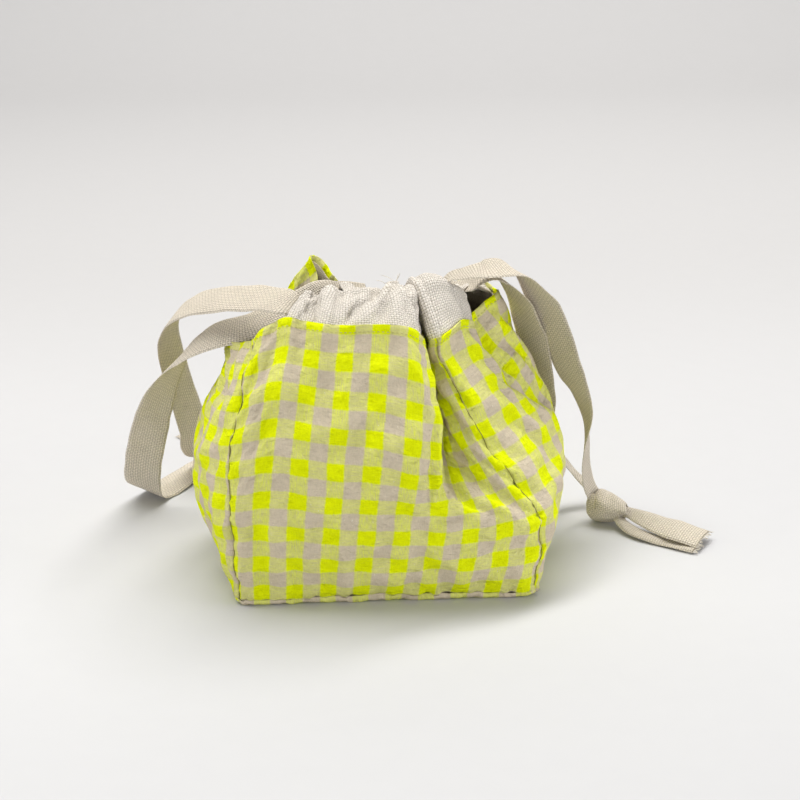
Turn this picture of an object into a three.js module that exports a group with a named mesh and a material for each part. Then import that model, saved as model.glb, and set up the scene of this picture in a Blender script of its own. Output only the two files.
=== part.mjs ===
// A drawstring project bag, stuffed and standing, with its mouth drawn in.
// Five gingham panels and five lining panels stand on a flat base. Two casings close over the
// mouth, and two tapes run through both casings, one drawn out to each side and knotted.
// Millimetres, +Z up, the front towards -Y, the origin under the middle of the base.
import * as THREE from 'three';

// Cut sizes of the cloth
const FRONT_WIDTH = 186;
const SIDE_WIDTH = 130;
const CUT_HEIGHT = 167;
const BASE_CORNER_RADIUS = 10;

// Cloth, and the air kept between plies and between panels
const GINGHAM_PLY = 1.0;
const LINING_PLY = 0.8;
const CASING_PLY = 0.8;
const PLY_GAP = 0.45;
const SEAM_GAP = 0.4;
const CASING_GAP = 1.2;
const LINING_BASE_INSET = 3;

// How the filled bag swells past its base
const FRONT_SWELL = 14;
const SIDE_SWELL = 20;
const CORNER_SWELL = 9;
const SWELL_RISE = 0.92;
const DRAW_IN_FROM = 0.3;
const FOLD_ROLL = 7;
const FOLD_DIP = 0.4;

// Casings: the channel that the tapes run in, leaning in towards the mouth
const CASING_FULLNESS = 5;
const GATHER_DEPTH = 0.2;
const GATHER_PITCH = 21;
const LOWER_LANE = 0.3;
const UPPER_LANE = 0.7;

// Tape: flat where it is free, bunched narrow inside the casings
const TAPE_WIDTH = 25;
const TAPE_PLY = 1.0;
const BUNCHED_WIDTH = 8;
const BUNCHED_PLY = TAPE_WIDTH * TAPE_PLY / BUNCHED_WIDTH;
const STRETCH_GAP = 0.3;

// Knots
const KNOT_LENGTH = 31;
const KNOT_WIDTH = 24;
const KNOT_HEIGHT = 20;
const KNOT_WAIST = 0.22;
const KNOT_TWIST = 2;

// Facets
const ROWS = 11;
const COLUMN_STEP = 7;
const CASING_STEP = 6;
const TAPE_STEP = 9;
const CORNER_FACETS = 6;
const KNOT_FACETS = [20, 14];

// The drawn-in top edge of the four walls, as it stands: distance along the cut edge from the
// panel's first seam, then where that point of the edge is, its height counted from the cut
// height. A pleat swallows the cloth between its two points and folds it inwards. Draw gives
// places along the edge, and how late the wall below each one is drawn in.
const TOP_EDGE = {
  front: {
    width: FRONT_WIDTH,
    points: [
      [0, -76.5, -32, -7],
      [10, -73, -38, 0],
      [31, -56.5, -44, 11],
      [40, -49.5, -47, 7],
      [66, -25, -53, 3],
      [81, -11, -56, 7],
      [96, 4, -57, 8],
      [110, 17, -53, 2],
      [124, 24, -45, -6],
    ],
    pleats: [{ from: 124, to: FRONT_WIDTH, towards: [0, 1] }],
    draw: [[0, 2.1], [60, 1.9], [130, 1.5], [178, 1.05]],
  },
  right: {
    width: SIDE_WIDTH,
    points: [
      [0, 37, -37, -11],
      [15, 44, -26, -5],
      [29, 51, -14, -2],
      [44, 58, -3, -9],
      [78, 62, 12, -3],
      [101, 75, 25, 3],
      [116, 73, 38, 1],
    ],
    pleats: [{ from: 44, to: 78, towards: [-1, 0.3] }],
    draw: [[29, 1.35], [64, 2.2], [101, 2.6]],
  },
  back: {
    width: FRONT_WIDTH,
    points: [
      [0, 65, 47, 8],
      [20, 52, 58, 0],
      [66, 33, 62, -5],
      [90, 12, 61, -6],
      [136, -14, 59, -4],
      [156, -24, 50, 4],
    ],
    pleats: [
      { from: 20, to: 66, towards: [0, -1] },
      { from: 90, to: 136, towards: [0, -1] },
    ],
    draw: [[0, 2.2], [84, 1.8]],
  },
  left: {
    width: SIDE_WIDTH,
    points: [
      [0, -37, 57, 19],
      [27, -55, 42, 1],
      [54, -78, 30, -12],
      [82, -100, 9, -22],
      [106, -92, -15, -19],
    ],
    pleats: [],
    draw: [[0, 1.8], [50, 2.3], [98, 2.6]],
  },
};
const PANELS = ['front', 'right', 'back', 'left'];

// The ring that each casing leans in to: a place along the cut edge of the panel named, and the
// ring's point there, its height counted from the cut height. A casing starts at its ring's
// first place and ends at the last.
const FRONT_RING = [
  ['front', 28, -41.6, -18.7, 18.5],
  ['front', 60, -23, -19.6, 20],
  ['front', 92, 0, -19, 21],
  ['front', 112, 9, -18, 21],
  ['front', 124, 13, -14, 20],
  ['right', 0, 18, -9, 18],
  ['right', 14, 26, 0, 18],
  ['right', 28, 36, 6, 16],
  ['right', 38, 42, 11, 13],
];
const BACK_RING = [
  ['right', 116, 49, 17, 11],
  ['back', 0, 46, 20, 9],
  ['back', 20, 40, 24, 8],
  ['back', 66, 21, 26, 7],
  ['back', 90, 7, 25, 7],
  ['back', 136, -14, 25, 10],
  ['back', 148, -21, 25, 12.5],
];

// Stations of a tape route: a place, the direction across the tape, its width and thickness
const bunched = (at, across) => ({ at, across, width: BUNCHED_WIDTH, ply: BUNCHED_PLY });
const flat = (at, across) => ({ at, across, width: TAPE_WIDTH, ply: TAPE_PLY });

// Tape routes: points, and the direction across the tape's width at each. A bridge is where a
// tape crosses from casing to casing, its height counted from the cut height.
const LEFT_BRIDGE = [56.5, 12.5, -0.8];
const LEFT_UPPER_ROUTE = {
  exit: [[-57, -31, 181.5]],
  free: [
    [-65, -22, 181.5], [-92, 3, 175], [-120, 36, 160], [-134, 68, 134], [-131, 98, 92],
    [-124, 128, 48], [-118, 150, 16], [-111, 163, 9],
  ],
  across: [
    [0.55, 0.75, 0.35], [0.53, 0.7, 0.47], [0.53, 0.7, 0.47], [0.53, 0.7, 0.47], [0.53, 0.7, 0.47],
    [0.6, 0.6, 0.4], [0.8, -0.3, 0.2], [0.8, -0.5, 0],
  ],
};
const LEFT_LOWER_ROUTE = {
  exit: [[-31, 35, 170]],
  free: [
    [-42, 24, 167.5], [-60, 12, 163], [-80, 4, 158.5], [-100, 8, 152.5], [-120, 22, 137],
    [-136, 46, 107], [-150, 75, 61], [-157, 95, 20], [-153, 107, 6], [-140, 128, 2.2], [-121, 159, 3],
  ],
  across: [
    [0.3, 0.8, 0.5], [0.25, 0.85, 0.45], [0.2, 0.85, 0.45], [0.25, 0.85, 0.42], [0.5, 0.65, 0.5],
    [0.7, 0.55, 0.4], [0.75, 0.55, 0.37], [0.85, 0.3, 0.2], [0.83, -0.45, 0.05], [0.83, -0.55, 0],
    [0.83, -0.55, 0],
  ],
};
const LEFT_KNOT = { at: [-102, 174, 10.3], turn: 0.65 };
const LEFT_TAILS = [
  {
    shape: flat,
    points: [[-90, 183, 8], [-79, 194, 3], [-63, 205, 1.5], [-47, 212, 1.5]],
    across: [[0.7, -0.6, 0.1], [0.7, -0.7, 0], [0.6, -0.8, 0], [0.3, -0.95, 0]],
  },
  {
    shape: flat,
    points: [[-107, 189, 7], [-112, 202, 3], [-120, 217, 1.5], [-131, 231, 1.5]],
    across: [[0.9, 0.3, 0.1], [0.9, 0.4, 0], [0.9, 0.5, 0], [0.8, 0.6, 0]],
  },
];
const RIGHT_BRIDGE = [-37, 6, 13];
const RIGHT_UPPER_ROUTE = {
  exit: [[55, 9, 177.5], [59, 4, 187]],
  free: [
    [66.5, 2, 193.5], [82, 7, 192], [103, 20, 164], [125, 33, 113],
    [137, 42, 86], [139, 49, 58], [141, 54, 30], [146, 53, 18],
  ],
  across: [
    [0.1, 0.95, 0.2], [-0.1, 0.95, 0.3], [-0.2, 0.9, 0.3], [-0.2, 0.9, 0.1],
    [0.2, 0.9, 0.1], [0.6, 0.75, 0], [0.8, 0.6, 0], [0.6, 0.7, 0.3],
  ],
};
const RIGHT_LOWER_ROUTE = {
  exit: [[62, 17, 181]],
  free: [
    [70, 18, 184], [87, 28, 166], [101, 40, 132], [115, 54, 90],
    [128, 68, 50], [139, 76, 24], [149, 72, 12], [153, 62, 10],
  ],
  across: [
    [-0.2, 0.95, 0.1], [-0.4, 0.85, 0.2], [-0.5, 0.8, 0.1], [-0.5, 0.8, 0],
    [-0.4, 0.85, 0.1], [0.2, 0.8, 0.4], [0.4, 0.5, 0.8], [0.3, 0.3, 0.9],
  ],
};
const RIGHT_KNOT = { at: [156, 46, 10.3], turn: -0.7 };
const RIGHT_TAILS = [
  {
    shape: flat,
    points: [[168, 36, 11.5], [178, 27, 10], [193, 15, 8.3], [210, 4, 5.5]],
    across: [[0.4, 0.7, 0.3], [0.45, 0.8, 0.25], [0.45, 0.8, 0.2], [0.4, 0.9, 0.1]],
  },
  {
    shape: bunched,
    points: [[163, 29, 5.5], [172, 18, 3], [188, 7, 2], [204, -4, 2]],
    across: [[0.5, 0.8, 0.3], [0.6, 0.8, 0.1], [0.55, 0.85, 0], [0.5, 0.85, 0]],
  },
];

const GINGHAM = { color: 0xdfe04a, roughness: 0.9, metalness: 0 };
const LINEN = { color: 0xcdbfa6, roughness: 0.95, metalness: 0 };
const CASING_LINEN = { color: 0xded6c8, roughness: 0.95, metalness: 0 };
const TAPE_LINEN = { color: 0xcfc3ae, roughness: 0.92, metalness: 0 };

const bag = new THREE.Group();

/** Adds one named sub-part to the bag. */
function addPart(name, geometry, finish) {
  const mesh = new THREE.Mesh(geometry, new THREE.MeshStandardMaterial(finish));
  mesh.name = name;
  bag.add(mesh);
}

const vector = (point) => new THREE.Vector3(...point);
const aboveCut = ([x, y, rise]) => new THREE.Vector3(x, y, CUT_HEIGHT + rise);
const mix = (a, b, share) => a + (b - a) * share;

/** Evenly spaced numbers from `first` to `last`, both included. */
const spread = (first, last, steps) => Array.from(
  { length: steps + 1 },
  (_, index) => mix(first, last, index / steps),
);

// The four walls laid end to end along the cut edge
const panelStart = {};
let girth = 0;
for (const name of PANELS) {
  panelStart[name] = girth;
  girth += TOP_EDGE[name].width;
}
const edgePoints = PANELS.flatMap((name) => TOP_EDGE[name].points.map(
  ([along, ...point]) => ({ along: panelStart[name] + along, at: aboveCut(point) }),
));
const pleats = PANELS.flatMap((name) => TOP_EDGE[name].pleats.map(({ from, to, towards }) => ({
  from: panelStart[name] + from,
  to: panelStart[name] + to,
  towards: new THREE.Vector3(...towards, 0).normalize(),
})));

const drawPlaces = PANELS.flatMap((name) => TOP_EDGE[name].draw.map(
  ([along, power]) => ({ along: panelStart[name] + along, power }),
));

const wrap = (along) => ((along % girth) + girth) % girth;

/** Finds the panel under a place on the cut edge. */
function panelAt(along) {
  const place = wrap(along);
  return PANELS.findLast((name) => panelStart[name] <= place);
}

/** The top edge without its pleats: a smooth curve through the edge points. */
function envelope(along) {
  const place = wrap(along);
  const count = edgePoints.length;
  const first = edgePoints.findLastIndex((point) => point.along <= place);
  const knot = (step) => {
    const index = first + step;
    const turn = Math.floor(index / count);
    const point = edgePoints[index - turn * count];
    return { along: point.along + turn * girth, at: point.at };
  };
  const [before, start, end, after] = [-1, 0, 1, 2].map(knot);
  const span = end.along - start.along;
  const share = (place - start.along) / span;
  const slope = (a, b) => b.at.clone().sub(a.at).multiplyScalar(span / (b.along - a.along));
  const startSlope = slope(before, end);
  const endSlope = slope(start, after);
  const squared = share * share;
  const cubed = squared * share;
  return start.at.clone().multiplyScalar(2 * cubed - 3 * squared + 1)
    .addScaledVector(startSlope, cubed - 2 * squared + share)
    .addScaledVector(end.at, 3 * squared - 2 * cubed)
    .addScaledVector(endSlope, cubed - squared);
}

/** A point of the base seam, on a rectangle with round corners. */
function basePoint(along) {
  const name = panelAt(along);
  const width = TOP_EDGE[name].width;
  const depth = name === 'front' || name === 'back' ? SIDE_WIDTH : FRONT_WIDTH;
  const fromSeam = wrap(along) - panelStart[name];
  const nearest = Math.min(fromSeam, width - fromSeam);
  const side = fromSeam < width / 2 ? -1 : 1;
  let across = fromSeam - width / 2;
  let out = depth / 2;
  if (nearest < BASE_CORNER_RADIUS) {
    const angle = (nearest / BASE_CORNER_RADIUS) * (Math.PI / 4) + Math.PI / 4;
    const inset = BASE_CORNER_RADIUS;
    across = side * (width / 2 - inset + inset * Math.cos(angle));
    out = depth / 2 - inset + inset * Math.sin(angle);
  }
  const quarter = PANELS.indexOf(name) * Math.PI / 2;
  const point = new THREE.Vector3(across, -out, 0);
  return point.applyAxisAngle(new THREE.Vector3(0, 0, 1), quarter);
}

/** How far, and which way, the filled wall swells at a place on the girth. */
function swell(along) {
  const name = panelAt(along);
  const share = (wrap(along) - panelStart[name]) / TOP_EDGE[name].width;
  const reach = name === 'front' || name === 'back' ? FRONT_SWELL : SIDE_SWELL;
  const quarter = PANELS.indexOf(name) * Math.PI / 2;
  const out = new THREE.Vector3(0, -1, 0).applyAxisAngle(new THREE.Vector3(0, 0, 1), quarter);
  const base = basePoint(along);
  const corner = new THREE.Vector3(base.x / FRONT_WIDTH, base.y / SIDE_WIDTH, 0);
  return out.multiplyScalar(reach * Math.sin(Math.PI * share)).addScaledVector(corner, CORNER_SWELL);
}

const wallBottom = GINGHAM_PLY + SEAM_GAP;

/** How late the wall below a place on the cut edge is drawn in. */
function drawPower(along) {
  const place = wrap(along);
  const last = drawPlaces.findLastIndex((point) => point.along <= place);
  const start = drawPlaces.at(last);
  const end = drawPlaces[(last + 1) % drawPlaces.length];
  const span = wrap(end.along - start.along);
  return mix(start.power, end.power, wrap(place - start.along) / span);
}

/** The wall without its pleats, at a height given as a share of the cut height. */
function plainWall(along, share) {
  const drawn = Math.max(0, (share - DRAW_IN_FROM) / (1 - DRAW_IN_FROM)) ** drawPower(along);
  const fullness = Math.sin(Math.PI * share ** SWELL_RISE);
  const top = envelope(along);
  const filled = basePoint(along).addScaledVector(swell(along), fullness);
  const point = filled.lerp(new THREE.Vector3(top.x, top.y, 0), drawn);
  point.z = mix(wallBottom, top.z, share);
  return point;
}

const FLAT_FOLD = [0.02, 0.12];

/** The wall with its pleats as sharp creases: in to the deepest point, then out to the far side. */
function creasedWall(along, share) {
  const place = wrap(along);
  const loose = plainWall(place, share);
  const pleat = pleats.find(({ from, to }) => place > from && place < to);
  if (!pleat) return loose;
  const cloth = pleat.to - pleat.from;
  const start = plainWall(pleat.from, share);
  const end = plainWall(pleat.to, share);
  const takenUp = Math.min(1, Math.hypot(end.x - start.x, end.y - start.y) / cloth);
  const turn = (1 - takenUp ** 2) / 2;
  const deepest = start.clone().addScaledVector(pleat.towards, turn * cloth);
  deepest.z -= FOLD_DIP * turn * cloth;
  const gone = (place - pleat.from) / cloth;
  const path = gone < turn
    ? start.lerp(deepest, gone / turn)
    : deepest.lerp(end, (gone - turn) / (1 - turn));
  return loose.lerp(path, THREE.MathUtils.smoothstep(turn, ...FLAT_FOLD));
}

const ROLL_TAPS = 9;
const ROLL_SPAN = 2.5;

/** The wall's outer surface, its creases rolled round. */
function wall(along, share) {
  const total = new THREE.Vector3();
  let whole = 0;
  for (const tap of spread(-1, 1, ROLL_TAPS - 1)) {
    const weight = Math.cos(tap * Math.PI / ROLL_SPAN);
    total.addScaledVector(creasedWall(along + tap * FOLD_ROLL, share), weight);
    whole += weight;
  }
  return total.divideScalar(whole);
}

const NUDGE = 0.05;

/** The wall's outward direction. */
function wallNormal(along, share) {
  const low = Math.max(0, share - NUDGE / 10);
  const high = Math.min(1, share + NUDGE / 10);
  const around = wall(along + NUDGE, share).sub(wall(along - NUDGE, share));
  const up = wall(along, high).sub(wall(along, low));
  return around.cross(up).normalize();
}

/** Collects points and triangles, and closes them into one solid. */
class Facets {
  constructor() {
    this.points = [];
    this.triangles = [];
  }

  /** Adds a grid of points, one row for each list, and returns their numbers. */
  addGrid(rows) {
    return rows.map((row) => row.map((point) => this.points.push(point) - 1));
  }

  /** Adds a four-sided facet, its corners counter-clockwise seen from outside. */
  addQuad(a, b, c, d) {
    this.triangles.push([a, b, c], [a, c, d]);
  }

  /** Joins two rows of points, closing the last to the first when they are rings. */
  addBand(low, high, ring = false) {
    const count = ring ? low.length : low.length - 1;
    for (let index = 0; index < count; index += 1) {
      const next = (index + 1) % low.length;
      this.addQuad(low[index], low[next], high[next], high[index]);
    }
  }

  toGeometry() {
    const geometry = new THREE.BufferGeometry();
    geometry.setAttribute(
      'position',
      new THREE.Float32BufferAttribute(this.points.flatMap((point) => point.toArray()), 3),
    );
    geometry.setIndex(this.triangles.flat());
    geometry.computeVertexNormals();
    return geometry;
  }
}

/** A closed sheet between two grids of the same size: the outer side and the inner side. */
function sheetSolid(outerRows, innerRows) {
  const facets = new Facets();
  const outer = facets.addGrid(outerRows);
  const inner = facets.addGrid(innerRows);
  const last = outer.length - 1;
  for (let row = 0; row < last; row += 1) {
    const end = outer[row].length - 1;
    facets.addBand(outer[row], outer[row + 1]);
    for (let column = 0; column < end; column += 1) {
      const next = column + 1;
      facets.addQuad(inner[row][column], inner[row + 1][column], inner[row + 1][next], inner[row][next]);
    }
    facets.addQuad(outer[row][0], outer[row + 1][0], inner[row + 1][0], inner[row][0]);
    facets.addQuad(outer[row + 1][end], outer[row][end], inner[row][end], inner[row + 1][end]);
  }
  facets.addBand(outer[last], inner[last]);
  facets.addBand(inner[0], outer[0]);
  return facets.toGeometry();
}

/** One wall panel of a ply that lies `depth` inside the outer surface, from seam to seam. */
function wallPanel(name, depth, ply, bottomTrim) {
  const width = TOP_EDGE[name].width;
  const seams = spread(panelStart[name], panelStart[name] + width, Math.round(width / COLUMN_STEP));
  const columns = seams.map((along, index) => {
    const edge = { 0: SEAM_GAP / 2, [seams.length - 1]: -SEAM_GAP / 2 };
    return { facing: along, along: along + (edge[index] ?? 0) };
  });
  const grid = (inside) => {
    const rows = spread(0, 1, ROWS).map((share) => columns.map(({ facing, along }) => (
      wall(along, share).addScaledVector(wallNormal(facing, share), -inside)
    )));
    rows[0].forEach((point, index) => point.lerp(rows[1][index], bottomTrim));
    return rows;
  };
  return sheetSolid(grid(depth), grid(depth + ply));
}

/** A flat base ply with round corners. */
function basePly(inset, bottom, ply) {
  const shape = new THREE.Shape();
  const [right, back] = [FRONT_WIDTH / 2 - inset, SIDE_WIDTH / 2 - inset];
  const radius = BASE_CORNER_RADIUS - inset;
  shape.moveTo(-right + radius, -back);
  shape.absarc(right - radius, -back + radius, radius, -Math.PI / 2, 0);
  shape.absarc(right - radius, back - radius, radius, 0, Math.PI / 2);
  shape.absarc(-right + radius, back - radius, radius, Math.PI / 2, Math.PI);
  shape.absarc(-right + radius, -back + radius, radius, Math.PI, Math.PI * 1.5);
  const settings = { depth: ply, bevelEnabled: false, curveSegments: CORNER_FACETS };
  return new THREE.ExtrudeGeometry(shape, settings).translate(0, 0, bottom);
}

// Gingham body and its lining
const liningDepth = GINGHAM_PLY + PLY_GAP;
const liningBaseBottom = GINGHAM_PLY + PLY_GAP;
const liningBaseTop = liningBaseBottom + LINING_PLY;
const lowestTop = Math.min(...edgePoints.map((point) => point.at.z));
const liningTrim = (liningBaseTop + PLY_GAP - wallBottom) * ROWS / (lowestTop - wallBottom);
addPart('base_panel', basePly(0, 0, GINGHAM_PLY), GINGHAM);
addPart('lining_base', basePly(LINING_BASE_INSET, liningBaseBottom, LINING_PLY), LINEN);
for (const name of PANELS) {
  const isSide = name === 'left' || name === 'right';
  const panelName = isSide ? `${name}_side_panel` : `${name}_panel`;
  addPart(panelName, wallPanel(name, 0, GINGHAM_PLY, 0), GINGHAM);
  addPart(`lining_${name}`, wallPanel(name, liningDepth, LINING_PLY, liningTrim), LINEN);
}

// A casing's section: shares of the way from its sewn lower edge to the ring
const CASING_SQUARENESS = 4;
const CASING_SHARES = [0, 0.16, 0.4, 0.6, 0.84, 1];
const CHANNEL_SHARES = [0.06, 0.14, 0.38, 0.62, 0.86, 0.94];

/** The ring that a casing leans in to. */
class Ring {
  constructor(points) {
    this.places = points.map(([name, along]) => panelStart[name] + along);
    this.curve = new THREE.CatmullRomCurve3(points.map(([, , ...point]) => aboveCut(point)));
    this.ends = [this.places[0], this.places.at(-1)];
  }

  /** How far a place on the cut edge lies outside the casing. */
  distance(along) {
    return Math.max(this.ends[0] - along, along - this.ends[1]);
  }

  /** The ring's point at a place on the cut edge. */
  point(along) {
    const last = this.places.length - 1;
    const next = this.places.findIndex((place) => place > along);
    const first = next === -1 ? last - 1 : Math.max(0, next - 1);
    const share = (along - this.places[first]) / (this.places[first + 1] - this.places[first]);
    return this.curve.getPoint((first + Math.min(1, Math.max(0, share))) / last);
  }
}
const frontRing = new Ring(FRONT_RING);
const backRing = new Ring(BACK_RING);

/** A place on a casing's middle surface: from its sewn lower edge (0) to the ring (1). */
function casingPoint(along, share) {
  const wallMiddle = (GINGHAM_PLY + PLY_GAP + LINING_PLY) / 2;
  const nearest = frontRing.distance(along) < backRing.distance(along) ? frontRing : backRing;
  const ring = nearest.point(along);
  const edge = envelope(along);
  const inward = ring.clone().sub(edge).setZ(0).normalize();
  edge.addScaledVector(inward, wallMiddle).setZ(edge.z + CASING_GAP);
  return edge.lerp(ring, share);
}

/** The direction across a casing, from its lower edge to the ring. */
const casingRise = (along) => casingPoint(along, 1).sub(casingPoint(along, 0)).normalize();

/** The direction that faces out and up from a casing. */
function casingNormal(along) {
  const around = casingPoint(along + 1, 0.5).sub(casingPoint(along - 1, 0.5));
  return around.cross(casingRise(along)).normalize();
}

const WALK_STRIDE = 0.5;

/** Places along the cut edge that lie evenly spaced on the drawn-in casing. */
function evenPlaces([from, to], step) {
  const places = [from];
  let walked = 0;
  let last = casingPoint(from, 0.5);
  for (let along = from + WALK_STRIDE; along < to; along += WALK_STRIDE) {
    const here = casingPoint(along, 0.5);
    walked += here.distanceTo(last);
    last = here;
    if (walked >= step * places.length) places.push(along);
  }
  places[places.length - 1] = to;
  return places;
}

/** One section of a casing: a closed outline, `inset` inside the cloth's outer face. */
function casingSection(along, fullness, shares, inset) {
  const normal = casingNormal(along);
  const last = shares.length - 1;
  const side = (index, sign) => {
    const share = shares[index];
    const isEnd = index === 0 || index === last;
    const swollen = isEnd ? 0 : fullness * (1 - Math.abs(2 * share - 1) ** CASING_SQUARENESS) - inset;
    return casingPoint(along, share).addScaledVector(normal, sign * swollen);
  };
  const outside = spread(0, last - 1, last - 1).map((index) => side(index, 1));
  const inside = spread(last, 1, last - 1).map((index) => side(index, -1));
  return [...outside, ...inside];
}

/** A casing: a gathered channel, open at both ends for the tapes. */
function casingSolid(ends) {
  const facets = new Facets();
  const places = evenPlaces(ends, CASING_STEP);
  const fullness = places.map((_, index) => (
    CASING_FULLNESS * (1 + GATHER_DEPTH * Math.cos(2 * Math.PI * index * CASING_STEP / GATHER_PITCH))
  ));
  const sections = (shares, inset) => facets.addGrid(
    places.map((along, index) => casingSection(along, fullness[index], shares, inset)),
  );
  const outer = sections(CASING_SHARES, 0);
  const channel = sections(CHANNEL_SHARES, CASING_PLY);
  const last = places.length - 1;
  for (let index = 0; index < last; index += 1) {
    facets.addBand(outer[index + 1], outer[index], true);
    facets.addBand(channel[index], channel[index + 1], true);
  }
  facets.addBand(outer[0], channel[0], true);
  facets.addBand(channel[last], outer[last], true);
  return facets.toGeometry();
}

addPart('front_casing', casingSolid(frontRing.ends), CASING_LINEN);
addPart('back_casing', casingSolid(backRing.ends), CASING_LINEN);

/** A tape's route: stations with a place, a direction across the tape, a width and a thickness. */
class TapeRoute {
  constructor(stations) {
    this.stations = stations;
    this.last = stations.length - 1;
    this.curve = new THREE.CatmullRomCurve3(stations.map((station) => station.at));
  }

  /** The four corners of the tape at a place counted in stations. */
  section(place) {
    const share = Math.min(1, Math.max(0, place / this.last));
    const index = Math.min(this.last - 1, Math.floor(share * this.last));
    const [here, next] = [this.stations[index], this.stations[index + 1]];
    const blend = share * this.last - index;
    const tangent = this.curve.getTangent(share);
    const across = here.across.clone().lerp(next.across, blend);
    across.addScaledVector(tangent, -across.dot(tangent)).normalize();
    const face = tangent.clone().cross(across);
    across.multiplyScalar(mix(here.width, next.width, blend) / 2);
    face.multiplyScalar(mix(here.ply, next.ply, blend) / 2);
    const centre = this.curve.getPoint(share);
    return [[1, 1], [-1, 1], [-1, -1], [1, -1]].map(([side, top]) => (
      centre.clone().addScaledVector(across, side).addScaledVector(face, top)
    ));
  }

  /** Moves a place along the route by a distance. */
  shift(place, distance) {
    const speed = this.curve.getPoint((place + NUDGE) / this.last)
      .distanceTo(this.curve.getPoint((place - NUDGE) / this.last)) / (2 * NUDGE);
    return place + distance / speed;
  }

  /** The stretch of tape between two places, as one closed strip. */
  strip(from, to) {
    const facets = new Facets();
    const inner = spread(0, this.last, this.last).filter((place) => place > from && place < to);
    const marks = [from, ...inner, to];
    const places = marks.slice(1).flatMap((mark, index) => {
      const length = this.curve.getPoint(mark / this.last)
        .distanceTo(this.curve.getPoint(marks[index] / this.last));
      return spread(marks[index], mark, Math.max(1, Math.round(length / TAPE_STEP))).slice(1);
    });
    const rings = facets.addGrid([from, ...places].map((place) => this.section(place)));
    for (let index = 1; index < rings.length; index += 1) {
      const [low, high] = [rings[index - 1], rings[index]];
      facets.addQuad(low[0], low[1], high[1], high[0]);
      facets.addQuad(low[1], low[2], high[2], high[1]);
      // The underside is split along the same diagonal as the face above it
      facets.addQuad(low[3], high[3], high[2], low[2]);
      facets.addQuad(low[3], low[0], high[0], high[3]);
    }
    facets.addQuad(...rings[0].toReversed());
    facets.addQuad(...rings.at(-1));
    return facets.toGeometry();
  }
}

/** Stations along one lane of a casing. */
const laneStations = (ends, lane) => evenPlaces(ends, TAPE_STEP)
  .map((along) => bunched(casingPoint(along, lane), casingRise(along)));

/** The hidden run of a tape, through both casings and over a bridge in the gap between them. */
function tapeRun(name, lane, startsAtFrontsFirstEnd, bridge) {
  const front = laneStations(frontRing.ends, lane);
  const back = laneStations(backRing.ends, lane);
  const [before, after] = startsAtFrontsFirstEnd ? [front, back] : [front.toReversed(), back.toReversed()];
  const across = before.at(-1).across.clone().lerp(after[0].across, 0.5);
  const route = new TapeRoute([...before, bunched(aboveCut(bridge), across), ...after]);
  addPart(name, route.strip(0, route.last), TAPE_LINEN);
  return route;
}

/** A knot: a wrapped lump with a slanting groove, longest along the tape. */
class Knot {
  constructor({ at, turn }) {
    this.at = vector(at);
    this.turn = turn;
    this.reach = new THREE.Vector3(KNOT_LENGTH / 2, KNOT_WIDTH / 2, KNOT_HEIGHT / 2);
  }

  /** The knot's reach in one direction, as a share of its full size there. */
  static surface(direction) {
    const round = Math.atan2(direction.z, direction.y);
    const groove = (1 - direction.x ** 2) * Math.cos(round + KNOT_TWIST * direction.x) ** 2;
    return 1 - KNOT_WAIST * groove;
  }

  /** Whether a point lies outside the knot with a gap to spare. */
  clears(point) {
    const local = point.clone().sub(this.at).applyAxisAngle(new THREE.Vector3(0, 0, 1), -this.turn);
    const share = local.divide(this.reach);
    const gap = STRETCH_GAP / this.reach.z;
    return share.length() > Knot.surface(share.clone().normalize()) + gap;
  }

  toGeometry() {
    const geometry = new THREE.SphereGeometry(1, ...KNOT_FACETS);
    const places = geometry.getAttribute('position');
    const point = new THREE.Vector3();
    for (let index = 0; index < places.count; index += 1) {
      point.fromBufferAttribute(places, index);
      point.multiplyScalar(Knot.surface(point)).multiply(this.reach);
      places.setXYZ(index, point.x, point.y, point.z);
    }
    return geometry.rotateZ(this.turn).translate(...this.at);
  }
}

const TRIM_STEP = 0.02;
const TRIM_POINTS = 8;

/** Steps a place along a route until the tape there is clear of the knot. */
function trimToKnot(route, place, step, knot) {
  let here = place;
  const isClear = () => {
    const [right, left, lowerLeft, lowerRight] = route.section(here);
    return spread(0, 1, TRIM_POINTS).every((share) => (
      knot.clears(right.clone().lerp(left, share)) && knot.clears(lowerRight.clone().lerp(lowerLeft, share))
    ));
  };
  while (!isClear()) here += step;
  return here;
}

/** A strand drawn out of a casing: its exit stretch and its free stretch down to the knot. */
function strand(name, run, runEnd, { exit, free, across }, knot) {
  const end = run.stations[runEnd];
  const away = run.curve.getTangent(runEnd / run.last).multiplyScalar(runEnd === 0 ? -1 : 1);
  const lead = end.at.clone().addScaledVector(away, BUNCHED_WIDTH / 3);
  const spreading = (at, index) => ({
    ...flat(vector(at), vector(across[0])),
    width: mix(BUNCHED_WIDTH, TAPE_WIDTH, (index + 1) / (exit.length + 1)),
  });
  const stations = [
    end,
    bunched(lead, end.across),
    ...exit.map(spreading),
    ...free.map((at, index) => flat(vector(at), vector(across[index]))),
  ];
  const parting = stations.length - free.length;
  const drawn = stations.pop();
  stations.push(bunched(drawn.at, drawn.across), bunched(knot.at, drawn.across));
  const route = new TapeRoute(stations);
  addPart(
    `${name}_exit`,
    route.strip(route.shift(2 * NUDGE, STRETCH_GAP), route.shift(parting, -STRETCH_GAP / 2)),
    TAPE_LINEN,
  );
  addPart(
    `${name}_strand`,
    route.strip(route.shift(parting, STRETCH_GAP / 2), trimToKnot(route, route.last, -TRIM_STEP, knot)),
    TAPE_LINEN,
  );
}

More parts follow.
